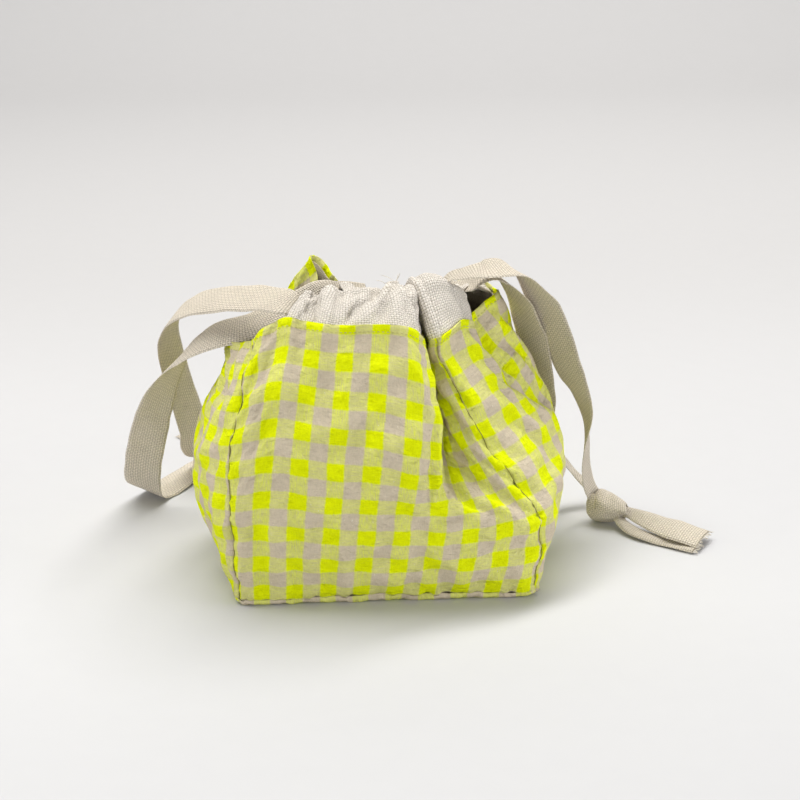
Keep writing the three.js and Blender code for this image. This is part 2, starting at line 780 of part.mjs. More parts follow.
/** A loose end of tape, from the knot to its cut end. */
function tail(name, { points, across, shape }, knot) {
  const stations = points.map((at, index) => shape(vector(at), vector(across[index])));
  const drawn = stations.shift();
  const route = new TapeRoute([
    bunched(knot.at, drawn.across),
    bunched(drawn.at, drawn.across),
    ...stations,
  ]);
  addPart(name, route.strip(trimToKnot(route, 0, TRIM_STEP, knot), route.last), TAPE_LINEN);
}

// The left tape leaves both casings at the left; it runs in the lower lane
const leftRun = tapeRun('left_tape_run', LOWER_LANE, true, LEFT_BRIDGE);
const leftKnot = new Knot(LEFT_KNOT);
strand('left_upper', leftRun, 0, LEFT_UPPER_ROUTE, leftKnot);
strand('left_lower', leftRun, leftRun.last, LEFT_LOWER_ROUTE, leftKnot);
addPart('left_knot', leftKnot.toGeometry(), TAPE_LINEN);
LEFT_TAILS.forEach((route, index) => tail(`left_tail_${index + 1}`, route, leftKnot));

// The right tape leaves both casings at the right; it runs in the upper lane
const rightRun = tapeRun('right_tape_run', UPPER_LANE, false, RIGHT_BRIDGE);
const rightKnot = new Knot(RIGHT_KNOT);
strand('right_upper', rightRun, 0, RIGHT_UPPER_ROUTE, rightKnot);
strand('right_lower', rightRun, rightRun.last, RIGHT_LOWER_ROUTE, rightKnot);
addPart('right_knot', rightKnot.toGeometry(), TAPE_LINEN);
RIGHT_TAILS.forEach((route, index) => tail(`right_tail_${index + 1}`, route, rightKnot));

export default bag;
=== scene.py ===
"""Blender scene of a gingham drawstring project bag, dressed over its CAD frame."""

import logging
import math
from dataclasses import dataclass, field
from enum import Enum
from typing import Callable, ClassVar, Sequence

import bpy
import numpy as np
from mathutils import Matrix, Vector


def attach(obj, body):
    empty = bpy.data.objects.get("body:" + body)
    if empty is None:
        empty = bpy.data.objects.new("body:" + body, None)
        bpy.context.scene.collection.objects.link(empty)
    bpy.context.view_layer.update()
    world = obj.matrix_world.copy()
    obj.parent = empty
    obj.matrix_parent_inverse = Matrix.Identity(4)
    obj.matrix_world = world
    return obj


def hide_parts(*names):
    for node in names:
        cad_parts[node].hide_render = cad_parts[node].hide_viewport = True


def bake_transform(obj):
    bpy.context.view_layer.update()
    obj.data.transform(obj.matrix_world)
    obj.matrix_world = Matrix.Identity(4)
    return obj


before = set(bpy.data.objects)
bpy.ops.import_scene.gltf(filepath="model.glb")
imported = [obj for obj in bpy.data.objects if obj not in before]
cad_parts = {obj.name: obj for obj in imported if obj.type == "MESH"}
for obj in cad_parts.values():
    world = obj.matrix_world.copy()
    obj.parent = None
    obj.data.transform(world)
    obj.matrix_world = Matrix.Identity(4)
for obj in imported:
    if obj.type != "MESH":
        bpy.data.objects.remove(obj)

log = logging.getLogger("bag")

MM = 0.001
CLOTH_MAP = "cloth"
UP = np.array([0.0, 0.0, 1.0])
TAPE_WIDTH = 25.0  # mm
TAPE_OFFSET = 40.0  # where the tape's middle lies on its flat cloth, in mm
CUP_MIDDLE = 0.4  # part of a tape's cupping that lies under its middle
THREAD_SIDE = np.array([0.31, 0.17, 0.93])  # a direction that no thread follows
THREAD_CORNERS = 6
CASING_RUN_ROW = 9
FRAY_LEAN = ((-0.8, 0.8), (-0.6, 0.2), (0.5, 1.0))
FRAY_CURL = ((-1, 1), (-1, 1), (-1.2, 0.0))
Point = tuple[float, float, float]
Colour = tuple[float, float, float]


class Slot(Enum):
    """Material slots of the record."""

    GINGHAM = "gingham"
    LINING = "lining"
    CASING = "casing"
    TAPE = "tape"


class Side(Enum):
    """The two drawstrings, by the side that they leave the bag on."""

    LEFT = "left"
    RIGHT = "right"


# ---------------------------------------------------------------- small maths


def unit(vectors: np.ndarray) -> np.ndarray:
    """Scale vectors to length one."""
    return vectors / np.maximum(np.linalg.norm(vectors, axis=-1, keepdims=True), 1e-9)


def smoothstep(low: float, high: float, value: np.ndarray) -> np.ndarray:
    """Ease from 0 at low to 1 at high."""
    share = np.clip((value - low) / (high - low), 0.0, 1.0)
    return share * share * (3.0 - 2.0 * share)


def bell(distance: np.ndarray, width: float | np.ndarray) -> np.ndarray:
    """Fall smoothly from 1 at no distance to nearly 0 at twice a width."""
    return np.exp(-((distance / width) ** 2))


def flat_grid(across: np.ndarray, up: np.ndarray) -> np.ndarray:
    """Pair places across and up the flat cloth into a grid."""
    return np.stack(np.broadcast_arrays(across, up), axis=2)


def lengths_along(line: np.ndarray) -> np.ndarray:
    """Measure the length of a line up to each of its points."""
    return np.concatenate([[0.0], np.cumsum(np.linalg.norm(np.diff(line, axis=0), axis=1))])


def read_line(at: np.ndarray, places: np.ndarray, points: np.ndarray,
              period: float | None = None) -> np.ndarray:
    """Read points along a line, between those that are given.

    Args:
        at: Where to read.
        places: Where the given points are along the line.
        points: The given points.
        period: Length after which the line comes round to its start.

    Returns:
        Points, one for each place that is read.
    """
    columns = [np.interp(at, places, points[:, axis], period=period) for axis in range(3)]
    return np.stack(columns, axis=1)


@dataclass(frozen=True)
class Ripple:
    """Smooth, seeded unevenness over a flat cloth."""

    seed: int
    shortest: float
    longest: float
    waves: int = 30

    def at(self, across: np.ndarray, up: np.ndarray) -> np.ndarray:
        """Measure the unevenness at places on the cloth.

        Args:
            across: Distances across the cloth, in mm.
            up: Distances up the cloth, in mm.

        Returns:
            Heights of about -1 to 1, in the shape of the places.
        """
        rng = np.random.default_rng(self.seed)
        total = np.zeros(np.broadcast(across, up).shape)
        for _ in range(self.waves):
            length = math.exp(rng.uniform(math.log(self.shortest), math.log(self.longest)))
            heading = rng.uniform(0.0, 2.0 * math.pi)
            phase = rng.uniform(0.0, 2.0 * math.pi)
            turn = (across * math.cos(heading) + up * math.sin(heading)) * 2.0 * math.pi / length
            total = total + np.cos(turn + phase)
        return total / math.sqrt(self.waves)


@dataclass(frozen=True)
class SmoothPath:
    """A centripetal Catmull-Rom curve through points."""

    points: np.ndarray

    def sample(self, step: float) -> tuple[np.ndarray, np.ndarray]:
        """Walk the curve in even steps.

        Args:
            step: Length of a step, in the points' unit.

        Returns:
            The places on the curve, and each one's place in the list of points.
        """
        points = self.points
        ends = np.vstack([2 * points[0] - points[1], points, 2 * points[-1] - points[-2]])
        fine: list[np.ndarray] = []
        marks: list[np.ndarray] = []
        share = np.linspace(0.0, 1.0, 40, endpoint=False)
        for index in range(len(points) - 1):
            p = ends[index:index + 4]
            gaps = np.maximum(np.linalg.norm(np.diff(p, axis=0), axis=1), 1e-6) ** 0.5
            t0, t1, t2, t3 = 0.0, gaps[0], gaps[0] + gaps[1], gaps.sum()
            t = (t1 + (t2 - t1) * share)[:, None]
            a1 = (t1 - t) / (t1 - t0) * p[0] + (t - t0) / (t1 - t0) * p[1]
            a2 = (t2 - t) / (t2 - t1) * p[1] + (t - t1) / (t2 - t1) * p[2]
            a3 = (t3 - t) / (t3 - t2) * p[2] + (t - t2) / (t3 - t2) * p[3]
            b1 = (t2 - t) / (t2 - t0) * a1 + (t - t0) / (t2 - t0) * a2
            b2 = (t3 - t) / (t3 - t1) * a2 + (t - t1) / (t3 - t1) * a3
            fine.append((t2 - t) / (t2 - t1) * b1 + (t - t1) / (t2 - t1) * b2)
            marks.append(index + share)
        places = np.vstack([*fine, points[-1:]])
        mark = np.concatenate([*marks, [len(points) - 1.0]])
        length = lengths_along(places)
        even = np.linspace(0.0, length[-1], max(2, round(length[-1] / step) + 1))
        return read_line(even, length, places), np.interp(even, length, mark)


# ---------------------------------------------------------------- meshes


class MeshParts:
    """Collects points, faces and flat-cloth places, and makes them into one object."""

    def __init__(self) -> None:
        """Start with nothing in it."""
        self.points: list[np.ndarray] = []
        self.flat: list[np.ndarray] = []
        self.faces: list[np.ndarray] = []
        self.count = 0

    def add_points(self, points: np.ndarray, flat: np.ndarray) -> np.ndarray:
        """Add points in mm, with their places on the flat cloth.

        Args:
            points: Places in mm, in any shape that ends in 3.
            flat: Places on the flat cloth in mm, in the same shape ending in 2.

        Returns:
            The points' numbers, in the shape given.
        """
        shape = points.shape[:-1]
        number = self.count + np.arange(int(np.prod(shape))).reshape(shape)
        self.points.append(points.reshape(-1, 3))
        self.flat.append(np.broadcast_to(flat, shape + (2,)).reshape(-1, 2))
        self.count += number.size
        return number

    def add_quads(self, a: np.ndarray, b: np.ndarray, c: np.ndarray, d: np.ndarray) -> None:
        """Add four-sided faces from arrays of point numbers."""
        self.faces.append(np.stack([a.ravel(), b.ravel(), c.ravel(), d.ravel()], axis=1))

    def add_grid(self, number: np.ndarray, flipped: bool = False, ring: bool = False) -> None:
        """Add the faces of a grid of point numbers.

        Args:
            number: Point numbers, rows by columns.
            flipped: Turn the faces over.
            ring: Close the last column to the first.
        """
        if ring:
            number = np.concatenate([number, number[:, :1]], axis=1)
        a, b, c, d = number[:-1, :-1], number[:-1, 1:], number[1:, 1:], number[1:, :-1]
        if flipped:
            self.add_quads(a, d, c, b)
        else:
            self.add_quads(a, b, c, d)

    def add_sheet(self, outer: np.ndarray, inner: np.ndarray, flat: np.ndarray) -> None:
        """Add a closed sheet between an outer and an inner grid.

        Args:
            outer: Grid of the outer face, rows by columns, in mm.
            inner: Grid of the inner face, of the same size.
            flat: Places on the flat cloth, for both.
        """
        front = self.add_points(outer, flat)
        back = self.add_points(inner, flat)
        self.add_grid(front)
        self.add_grid(back, flipped=True)
        for row, flipped in ((0, True), (-1, False)):
            self.add_grid(np.stack([front[row], back[row]]), flipped)
        for column, flipped in ((0, False), (-1, True)):
            self.add_grid(np.stack([front[:, column], back[:, column]]), flipped)

    def add_tube(self, rings: np.ndarray, flat: np.ndarray) -> None:
        """Add a tube from rings of points, with both ends closed.

        Args:
            rings: Points, rings by corners.
            flat: Places on the flat cloth, of the same size.
        """
        number = self.add_points(rings, flat)
        self.add_grid(number, ring=True)
        corners = rings.shape[1]
        half = np.arange(corners // 2)
        for row, flipped in ((0, True), (-1, False)):
            ends = np.stack([number[row, half], number[row, (-1 - half) % corners]])
            self.add_grid(ends, not flipped)

    def make(self, name: str, finish: "Finish") -> bpy.types.Object:
        """Make the collected faces into a smooth object in metres.

        Args:
            name: Name of the piece.
            finish: Finish of its surface.

        Returns:
            The new object, linked to the scene.
        """
        points = np.concatenate(self.points) * MM
        faces = np.concatenate(self.faces)
        mesh = bpy.data.meshes.new(name)
        mesh.from_pydata(points.tolist(), [], faces.tolist())
        layer = mesh.uv_layers.new(name=CLOTH_MAP)
        corner = np.empty(len(mesh.loops), dtype=np.int32)
        mesh.loops.foreach_get("vertex_index", corner)
        flat = np.concatenate(self.flat)[corner] * MM
        layer.data.foreach_set("uv", flat.astype(np.float32).ravel())
        mesh.polygons.foreach_set("use_smooth", np.full(len(mesh.polygons), True))
        mesh.validate()
        piece = bpy.data.objects.new(name, mesh)
        bpy.context.scene.collection.objects.link(piece)
        mesh.materials.append(finish.material())
        return piece


def grid_normals(points: np.ndarray, ring: bool) -> np.ndarray:
    """Find the outward direction at each point of a grid.

    Args:
        points: Grid of points, rows by columns.
        ring: Whether the last column meets the first.

    Returns:
        Unit directions, one for each point.
    """
    if ring:
        across = np.roll(points, -1, axis=1) - np.roll(points, 1, axis=1)
    else:
        across = np.gradient(points, axis=1)
    return unit(np.cross(across, np.gradient(points, axis=0)))


# ---------------------------------------------------------------- shader trees


def operator(name: str, reflected: bool = False) -> Callable[["Wire", "Wire | float"], "Wire"]:
    """Make one of the arithmetic methods of Wire.

    Args:
        name: Name of the Math node's operation.
        reflected: Put the wire second, for a number that stands before it.

    Returns:
        The method.
    """

    def method(wire: "Wire", other: "Wire | float") -> "Wire":
        """Join the wire and the other value by a Math node."""
        values = (other, wire) if reflected else (wire, other)
        return wire.tree.maths(name, *values)

    return method


class Wire:
    """One value of a shader tree, with arithmetic."""

    def __init__(self, tree: "ShaderTree", socket: bpy.types.NodeSocket) -> None:
        """Keep the tree and the socket that the value leaves."""
        self.tree = tree
        self.socket = socket

    __add__, __radd__ = operator("ADD"), operator("ADD", reflected=True)
    __sub__, __rsub__ = operator("SUBTRACT"), operator("SUBTRACT", reflected=True)
    __mul__, __rmul__ = operator("MULTIPLY"), operator("MULTIPLY", reflected=True)
    __pow__ = operator("POWER")

    def __abs__(self) -> "Wire":
        """Drop the sign."""
        return self.tree.maths("ABSOLUTE", self)

    def sine(self) -> "Wire":
        """Take the sine."""
        return self.tree.maths("SINE", self)

    def ease(self, low: float, high: float) -> "Wire":
        """Ease from 0 at low to 1 at high."""
        inputs = {"Value": self, "From Min": low, "From Max": high}
        node = self.tree.node("ShaderNodeMapRange", {"interpolation_type": "SMOOTHSTEP"}, inputs)
        return Wire(self.tree, node.outputs["Result"])


class ShaderTree:
    """The nodes of one material."""

    def __init__(self, name: str) -> None:
        """Make an empty material with a Principled shader.

        Args:
            name: Name of the material.
        """
        self.material = bpy.data.materials.new(name)
        self.material.use_nodes = True
        self.tree = self.material.node_tree
        self.shader = self.tree.nodes["Principled BSDF"]

    def link(self, value: "Wire | float | Sequence[float]", socket: bpy.types.NodeSocket) -> None:
        """Feed a socket from a value, or set it.

        Args:
            value: A wire, a number or a list of numbers.
            socket: The socket to feed.
        """
        if isinstance(value, Wire):
            self.tree.links.new(value.socket, socket)
        else:
            socket.default_value = value

    def node(self, kind: str, settings: dict[str, object],
             inputs: dict[str | int, object]) -> bpy.types.Node:
        """Add a node.

        Args:
            kind: The node's type.
            settings: Attributes, set before the inputs.
            inputs: Values for its sockets, by name or number.

        Returns:
            The new node.
        """
        node = self.tree.nodes.new(kind)
        for name, value in settings.items():
            setattr(node, name, value)
        for name, value in inputs.items():
            self.link(value, node.inputs[name])
        return node

    def maths(self, operation: str, *values: Wire | float) -> Wire:
        """Add a maths node.

        Args:
            operation: Name of the operation.
            values: Its one or two values.

        Returns:
            The result.
        """
        node = self.node("ShaderNodeMath", {"operation": operation}, dict(enumerate(values)))
        return Wire(self, node.outputs[0])

    def flat_place(self) -> tuple[Wire, Wire, Wire]:
        """Read the place on the flat cloth: its vector, and mm across and up.

        Returns:
            The vector in metres, and the places across and up in mm.
        """
        node = self.node("ShaderNodeUVMap", {"uv_map": CLOTH_MAP}, {})
        place = Wire(self, node.outputs["UV"])
        split = self.node("ShaderNodeSeparateXYZ", {}, {"Vector": place})
        across, up = (Wire(self, split.outputs[axis]) * (1.0 / MM) for axis in ("X", "Y"))
        return place, across, up

    def stretched(self, place: Wire, scale: Point) -> Wire:
        """Scale a place by a different number each way."""
        node = self.node("ShaderNodeVectorMath", {"operation": "MULTIPLY"}, {0: place, 1: scale})
        return Wire(self, node.outputs[0])

    def noise(self, place: Wire, scale: Point, detail: float = 2.0) -> Wire:
        """Read noise of about 0 to 1 at a place.

        Args:
            place: Where to read it.
            scale: Waves for each metre, each way.
            detail: Octaves on top of the first.

        Returns:
            The noise.
        """
        inputs = {"Vector": self.stretched(place, scale), "Scale": 1.0, "Detail": detail}
        return Wire(self, self.node("ShaderNodeTexNoise", {}, inputs).outputs["Fac"])

    def blend(self, factor: Wire | float, first: object, second: object) -> Wire:
        """Blend two colours.

        Args:
            factor: Share of the second.
            first: A wire or a colour.
            second: A wire or a colour.

        Returns:
            The blended colour.
        """
        first_in, second_in = (colour if isinstance(colour, Wire) else (*colour, 1.0)
                               for colour in (first, second))
        inputs = {0: factor, 6: first_in, 7: second_in}
        return Wire(self, self.node("ShaderNodeMix", {"data_type": "RGBA"}, inputs).outputs[2])

    def tint(self, colour: Wire, value: Wire) -> Wire:
        """Multiply a colour by a number."""
        inputs = {0: colour, "Scale": value}
        node = self.node("ShaderNodeVectorMath", {"operation": "SCALE"}, inputs)
        return Wire(self, node.outputs[0])

    def bump(self, height: Wire, distance: float, strength: float,
             normal: Wire | None = None) -> Wire:
        """Turn a height into a bumped normal.

        Args:
            height: Heights of about 0 to 1.
            distance: What a height of 1 stands for, in metres.
            strength: Share of it that shows.
            normal: A normal to start from.

        Returns:
            The bumped normal.
        """
        inputs = {"Height": height, "Distance": distance, "Strength": strength}
        if normal is not None:
            inputs["Normal"] = normal
        return Wire(self, self.node("ShaderNodeBump", {}, inputs).outputs["Normal"])

    def finish(self, colour: Wire, roughness: Wire | float, normal: Wire,
               sheen: float) -> bpy.types.Material:
        """Feed the shader of a dry cloth.

        Args:
            colour: Its colour.
            roughness: Its roughness.
            normal: Its bumped normal.
            sheen: Weight of its fuzz.

        Returns:
            The finished material.
        """
        self.link(colour, self.shader.inputs["Base Color"])
        self.link(roughness, self.shader.inputs["Roughness"])
        self.link(normal, self.shader.inputs["Normal"])
        self.shader.inputs["Specular IOR Level"].default_value = 0.06
        self.shader.inputs["Sheen Weight"].default_value = sheen
        self.shader.inputs["Sheen Roughness"].default_value = 0.6
        return self.material


@dataclass(frozen=True)
class Finish:
    """A surface finish, made into one material the first time it is asked for."""

    name: str
    made: ClassVar[dict[str, bpy.types.Material]] = {}

    def material(self) -> bpy.types.Material:
        """Give the finish's material, made once."""
        if self.name not in Finish.made:
            Finish.made[self.name] = self.build(ShaderTree(self.name))
        return Finish.made[self.name]

    def build(self, tree: ShaderTree) -> bpy.types.Material:
        """Build the material; each finish has its own way."""
        raise NotImplementedError


@dataclass(frozen=True)
class GinghamFinish(Finish):
    """Soft gingham: yellow and natural linen yarns crossing in checks.

    Places on the cloth are in mm, and depths of the bumps in metres.
    """

    yellow: Colour = (0.775, 0.865, 0.0)
    linen: Colour = (0.63, 0.545, 0.41)
    fleck: Colour = (0.84, 0.81, 0.70)
    repeat: tuple[float, float] = (20.0, 21.8)
    first: tuple[float, float] = (16.4, 7.6)
    lean: float = 0.07
    wander: float = 2.0
    jag: float = 1.2
    stripe_edge: float = 0.2
    warp_cover: float = 0.54
    weft_cover: float = 0.42
    yarn: float = 0.62
    yarn_depth: float = 0.0004
    crinkle_depth: float = 0.0026
    fold_depth: float = 0.005
    roughness: float = 0.9
    sheen: float = 0.02

    def stripe(self, place: Wire, way: int) -> Wire:
        """Give 1 on yellow yarns and 0 on linen ones.

        Args:
            place: Distance across the stripes.
            way: 0 for the warp, 1 for the weft.

        Returns:
            The stripes.
        """
        first, repeat = self.first[way], self.repeat[way]
        turn = (place - (first - repeat / 4)) * (2 * math.pi / repeat)
        return turn.sine().ease(-self.stripe_edge, self.stripe_edge)

    def build(self, tree: ShaderTree) -> bpy.types.Material:
        """Weave the two yarns, with slubs, flecks and crinkles, and paint the crinkles' light and
        shade into the colour.

        Args:
            tree: Nodes of the new material.

        Returns:
            The finished material.
        """
        place, across, up = tree.flat_place()
        sway = tree.noise(place, (45.0, 45.0, 1.0)) - 0.5
        sag = tree.noise(place, (38.0, 52.0, 2.0)) - 0.5
        jag = (tree.noise(place, (900.0, 900.0, 1.0)) - 0.5) * self.jag
        warp = self.stripe(across - up * self.lean + sway * self.wander + jag, 0)
        weft = self.stripe(up + sag * self.wander + jag, 1)
        streak = tree.noise(place, (1500.0, 210.0, 1.0), detail=3.0) - 0.5
        rib = tree.noise(place, (210.0, 1500.0, 1.0), detail=3.0) - 0.5
        both = warp * weft
        only_warp = (warp - both) * (streak * 0.75 + self.warp_cover)
        only_weft = (weft - both) * (rib * 0.45 + self.weft_cover)
        cover = both + only_warp + only_weft
        woven = tree.blend(cover.ease(0.0, 1.0) * 0.3 + cover * 0.7, self.linen, self.yellow)
        cloud = tree.noise(place, (60.0, 60.0, 1.0), detail=4.0) - 0.5
        crinkle = tree.noise(place, (210.0, 260.0, 1.0), detail=3.0)
        speck = tree.noise(place, (1100.0, 1100.0, 3.0)) - 0.5
        # painted light and shade: the crinkle term lightens the puckers' tops and darkens their
        # hollows; cloud, streak, rib and speck are the yarns' own uneven tone
        value = (1.0 + cloud * 0.14 + (crinkle - 0.5) * 0.20 + (streak + rib) * 0.22
                 + speck * 0.18)
        fleck = tree.noise(place, (700.0, 420.0, 3.0)).ease(0.66, 0.8) * (1.0 - both) * 0.55
        pale = tree.blend(fleck, tree.tint(woven, value), self.fleck)
        weave = (across * (math.pi / self.yarn)).sine() * (up * (math.pi / self.yarn)).sine()
        relief = abs(weave) * 0.7 + streak + rib + speck * 1.4
        fine = tree.bump(relief, self.yarn_depth, 0.6)
        pucker = tree.bump(crinkle, self.crinkle_depth, 0.7, fine)
        wide = tree.noise(place, (75.0, 120.0, 1.0), detail=3.0)
        normal = tree.bump(wide, self.fold_depth, 0.6, pucker)
        return tree.finish(pale, self.roughness, normal, self.sheen)


@dataclass(frozen=True)
class LinenFinish(Finish):
    """Undyed linen canvas in a coarse plain weave, with its yarns' pitch in mm; its shade colour,
    as strong as its depth, is painted shade in the holes between yarns.
    """

    colour: Colour = (0.70, 0.65, 0.57)
    # colour of the painted shade in the holes and grooves between yarns
    shade: Colour = (0.26, 0.20, 0.12)
    pitch: float = 1.6
    depth: float = 0.8
    mottle: float = 0.42
    wander: float = 0.9
    yarn_depth: float = 0.0008
    slub_depth: float = 0.0012
    roughness: float = 0.92
    sheen: float = 0.04

    def build(self, tree: ShaderTree) -> bpy.types.Material:
        """Weave the yarns over and under, with thick and thin places, and painted shade in the
        holes between them.

        Args:
            tree: Nodes of the new material.

        Returns:
            The finished material.
        """
        place, across, up = tree.flat_place()
        sway = (tree.noise(place, (160.0, 160.0, 1.0)) - 0.5) * self.wander
        warp = ((across + sway) * (math.pi / self.pitch)).sine()
        weft = ((up + sway) * (math.pi / self.pitch)).sine()
        cell = warp * weft
        yarn = abs(cell) ** 0.6
        slub = tree.noise(place, (650.0, 70.0, 1.0))
        cross = tree.noise(place, (70.0, 650.0, 2.0))
        # painted shade: holes and grooves between the yarns blend towards the shade colour
        holes = ((1.0 - abs(warp)) * (1.0 - abs(weft))).ease(0.2, 0.75)
        gap = holes * self.depth + (1.0 - yarn).ease(0.3, 1.0) * (self.depth * 0.3)
        mottled = tree.noise(place, (90.0, 90.0, 3.0), detail=4.0)
        speck = tree.noise(place, (620.0, 620.0, 5.0)) - 0.5
        uneven = slub * 0.4 + cross * 0.4 + mottled * 0.2
        value = 1.0 - self.mottle * 0.5 + self.mottle * uneven
        over = cell.ease(-0.5, 0.5) * 0.16 + 0.92 + speck * 0.22
        colour = tree.tint(tree.blend(gap, self.colour, self.shade), value * over)
        fine = tree.bump(yarn * 0.8 + slub * 0.5 + cross * 0.5, self.yarn_depth, 0.8)
        normal = tree.bump(mottled, self.slub_depth, 0.3, fine)
        return tree.finish(colour, self.roughness, normal, self.sheen)


@dataclass(frozen=True)
class ThreadFinish(Finish):
    """Twisted sewing thread or loose linen yarn."""

    colour: Colour = (0.62, 0.57, 0.40)
    twist_depth: float = 0.0001
    roughness: float = 0.85
    sheen: float = 0.1

    def build(self, tree: ShaderTree) -> bpy.types.Material:
        """Twist two plies along the thread, with painted shade in the grooves between them.

        Args:
            tree: Nodes of the new material.

        Returns:
            The finished material.
        """
        place, across, up = tree.flat_place()
        twist = ((across + up * 2.0) * 9.0).sine() * 0.5 + 0.5
        uneven = tree.noise(place, (300.0, 300.0, 1.0)) * 0.3 + 0.85
        # painted shade: a darker copy of the colour along the twist's grooves
        shade = tuple(value * 0.6 for value in self.colour)
        colour = tree.tint(tree.blend(twist * 0.25, self.colour, shade), uneven)
        normal = tree.bump(twist, self.twist_depth, 0.5)
        return tree.finish(colour, self.roughness, normal, self.sheen)


@dataclass(frozen=True)
class FloorFinish(Finish):
    """Pale studio floor and backdrop, with painted shade that darkens it further back."""

    near: Colour = (0.60, 0.60, 0.608)
    # painted shade: the far paper is drawn darker, as if less lit
    far: Colour = (0.515, 0.51, 0.51)
    turn: tuple[float, float] = (-0.1, 0.75)

    def build(self, tree: ShaderTree) -> bpy.types.Material:
        """Paint shade on the paper: a little darker with distance, as if less lit.

        Args:
            tree: Nodes of the new material.

        Returns:
            The finished material.
        """
        node = tree.node("ShaderNodeNewGeometry", {}, {})
        place = Wire(tree, node.outputs["Position"])
        split = tree.node("ShaderNodeSeparateXYZ", {}, {"Vector": place})
        share = Wire(tree, split.outputs["Y"]).ease(*self.turn)
        grain = tree.noise(place, (60.0, 60.0, 60.0))
        colour = tree.tint(tree.blend(share, self.near, self.far), grain * 0.02 + 0.99)
        return tree.finish(colour, 0.95, tree.bump(grain, 0.0002, 0.1), 0.0)


GINGHAM = GinghamFinish("gingham_cloth")
# depth sets how strong each linen's painted shade between the yarns is
LINING = LinenFinish("lining_linen", colour=(0.60, 0.53, 0.40), pitch=0.9, depth=0.3)
CANVAS = LinenFinish("casing_canvas", colour=(0.77, 0.72, 0.65), pitch=1.4, depth=0.75, mottle=0.4)
TAPE = LinenFinish("tape_linen", colour=(0.71, 0.645, 0.54), depth=1.0)
THREAD = ThreadFinish("seam_thread", colour=(0.60, 0.57, 0.20))
# painted shade: a dark thread that draws the shade line of each upright seam
SEAM_SHADOW = ThreadFinish("seam_shadow_thread", colour=(0.30, 0.27, 0.07))
FRAY = ThreadFinish("frayed_yarn", colour=(0.76, 0.71, 0.62))


# ---------------------------------------------------------------- studio


@dataclass(frozen=True)
class Lamp:
    """A soft area light: place and aim in metres, width and depth, watts and colour."""

    name: str
    place: Point
    aim: Point
    size: tuple[float, float]
    power: float
    colour: Colour

    def hang(self) -> None:
        """Add the light to the scene."""
        data = bpy.data.lights.new(self.name, "AREA")
        data.shape = "RECTANGLE"
        data.size, data.size_y = self.size
        data.energy = self.power
        data.color = self.colour
        light = bpy.data.objects.new(self.name, data)
        light.location = self.place
        ray = Vector(self.aim) - Vector(self.place)
        light.rotation_euler = ray.to_track_quat("-Z", "Y").to_euler()
        bpy.context.scene.collection.objects.link(light)


@dataclass
class Studio:
    """Camera, light and paper backdrop, in degrees and metres."""

    azimuth: float = -4.0
    elevation: float = 20.0
    distance: float = 1.150
    lens: float = 83.1
    sensor: float = 36.0
    aim_right: float = 0.012
    aim_height: float = 0.108
    floor_front: float = -9.0
    floor_back: float = 2.4
    floor_bend: float = 0.8
    bend_rows: int = 16
    backdrop_height: float = 2.6
    half_width: float = 9.0
    world_colour: Colour = (1.0, 0.995, 0.985)
    world_strength: float = 0.21
    lamps: Sequence[Lamp] = (
        Lamp("top", (-0.1, 0.46, 2.2), (0.0, 0.3, 0.0), (3.2, 0.6), 72.0, (1.0, 0.985, 0.96)),
        Lamp("front", (0.1, -2.4, 0.5), (0.0, 0.0, 0.10), (2.0, 0.8), 12.5, (0.98, 0.99, 1.0)),
        Lamp("back", (0.0, 2.0, 2.0), (0.0, 1.7, 0.0), (2.4, 0.8), 11.0, (1.0, 0.99, 0.98)),
        Lamp("left", (-2.2, -0.8, 0.5), (0.0, 0.0, 0.10), (1.2, 0.8), 14.0, (0.99, 0.99, 1.0)),
        Lamp("right", (2.2, -0.8, 0.5), (0.0, 0.0, 0.10), (1.2, 0.8), 24.0, (0.99, 0.99, 1.0)),
    )

    def add_camera(self) -> None:
        """Stand the camera where the photograph was taken from."""
        turn, rise = math.radians(self.azimuth), math.radians(self.elevation)
        right = Vector((math.cos(turn), math.sin(turn), 0.0))
        aim = right * self.aim_right + Vector((0.0, 0.0, self.aim_height))
        level = math.cos(rise)
        back = Vector((math.sin(turn) * level, -math.cos(turn) * level, math.sin(rise)))
        data = bpy.data.cameras.new("camera")
        data.lens = self.lens
        data.sensor_width = self.sensor
        camera = bpy.data.objects.new("camera", data)
        camera.location = aim + back * self.distance
        camera.rotation_euler = (-back).to_track_quat("-Z", "Y").to_euler()
        bpy.context.scene.collection.objects.link(camera)
        bpy.context.scene.camera = camera

    def add_floor(self) -> None:
        """Lay the paper: a flat floor that curves up into the backdrop."""
        bend = self.floor_bend
        turns = np.linspace(0.0, math.pi / 2, self.bend_rows)
        curve = self.floor_back - bend + bend * np.sin(turns)
        ys = np.array([self.floor_front, *curve, self.floor_back])
        zs = np.array([0.0, *(bend - bend * np.cos(turns)), self.backdrop_height])
        xs = np.linspace(-self.half_width, self.half_width, 5)
        rows = np.stack(np.broadcast_arrays(xs[None], ys[:, None], zs[:, None]), axis=2) / MM
        parts = MeshParts()
        parts.add_grid(parts.add_points(rows, rows[..., :2]))
        parts.make("paper", FloorFinish("paper"))

    def build(self) -> None:
        """Set up the camera, paper, lights and world."""
        self.add_camera()
        self.add_floor()
        for lamp in self.lamps:
            lamp.hang()
        world = bpy.data.worlds.new("studio")
        bpy.context.scene.world = world
        world.use_nodes = True
        background = world.node_tree.nodes["Background"]
        background.inputs["Color"].default_value = (*self.world_colour, 1.0)
        background.inputs["Strength"].default_value = self.world_strength
        bpy.context.scene.view_settings.view_transform = "Standard"


# ---------------------------------------------------------------- walls


@dataclass(frozen=True)
class Fold:
    """A pleat that swallows the cloth between two places on the girth."""

    start: float
    end: float
    towards: tuple[float, float]


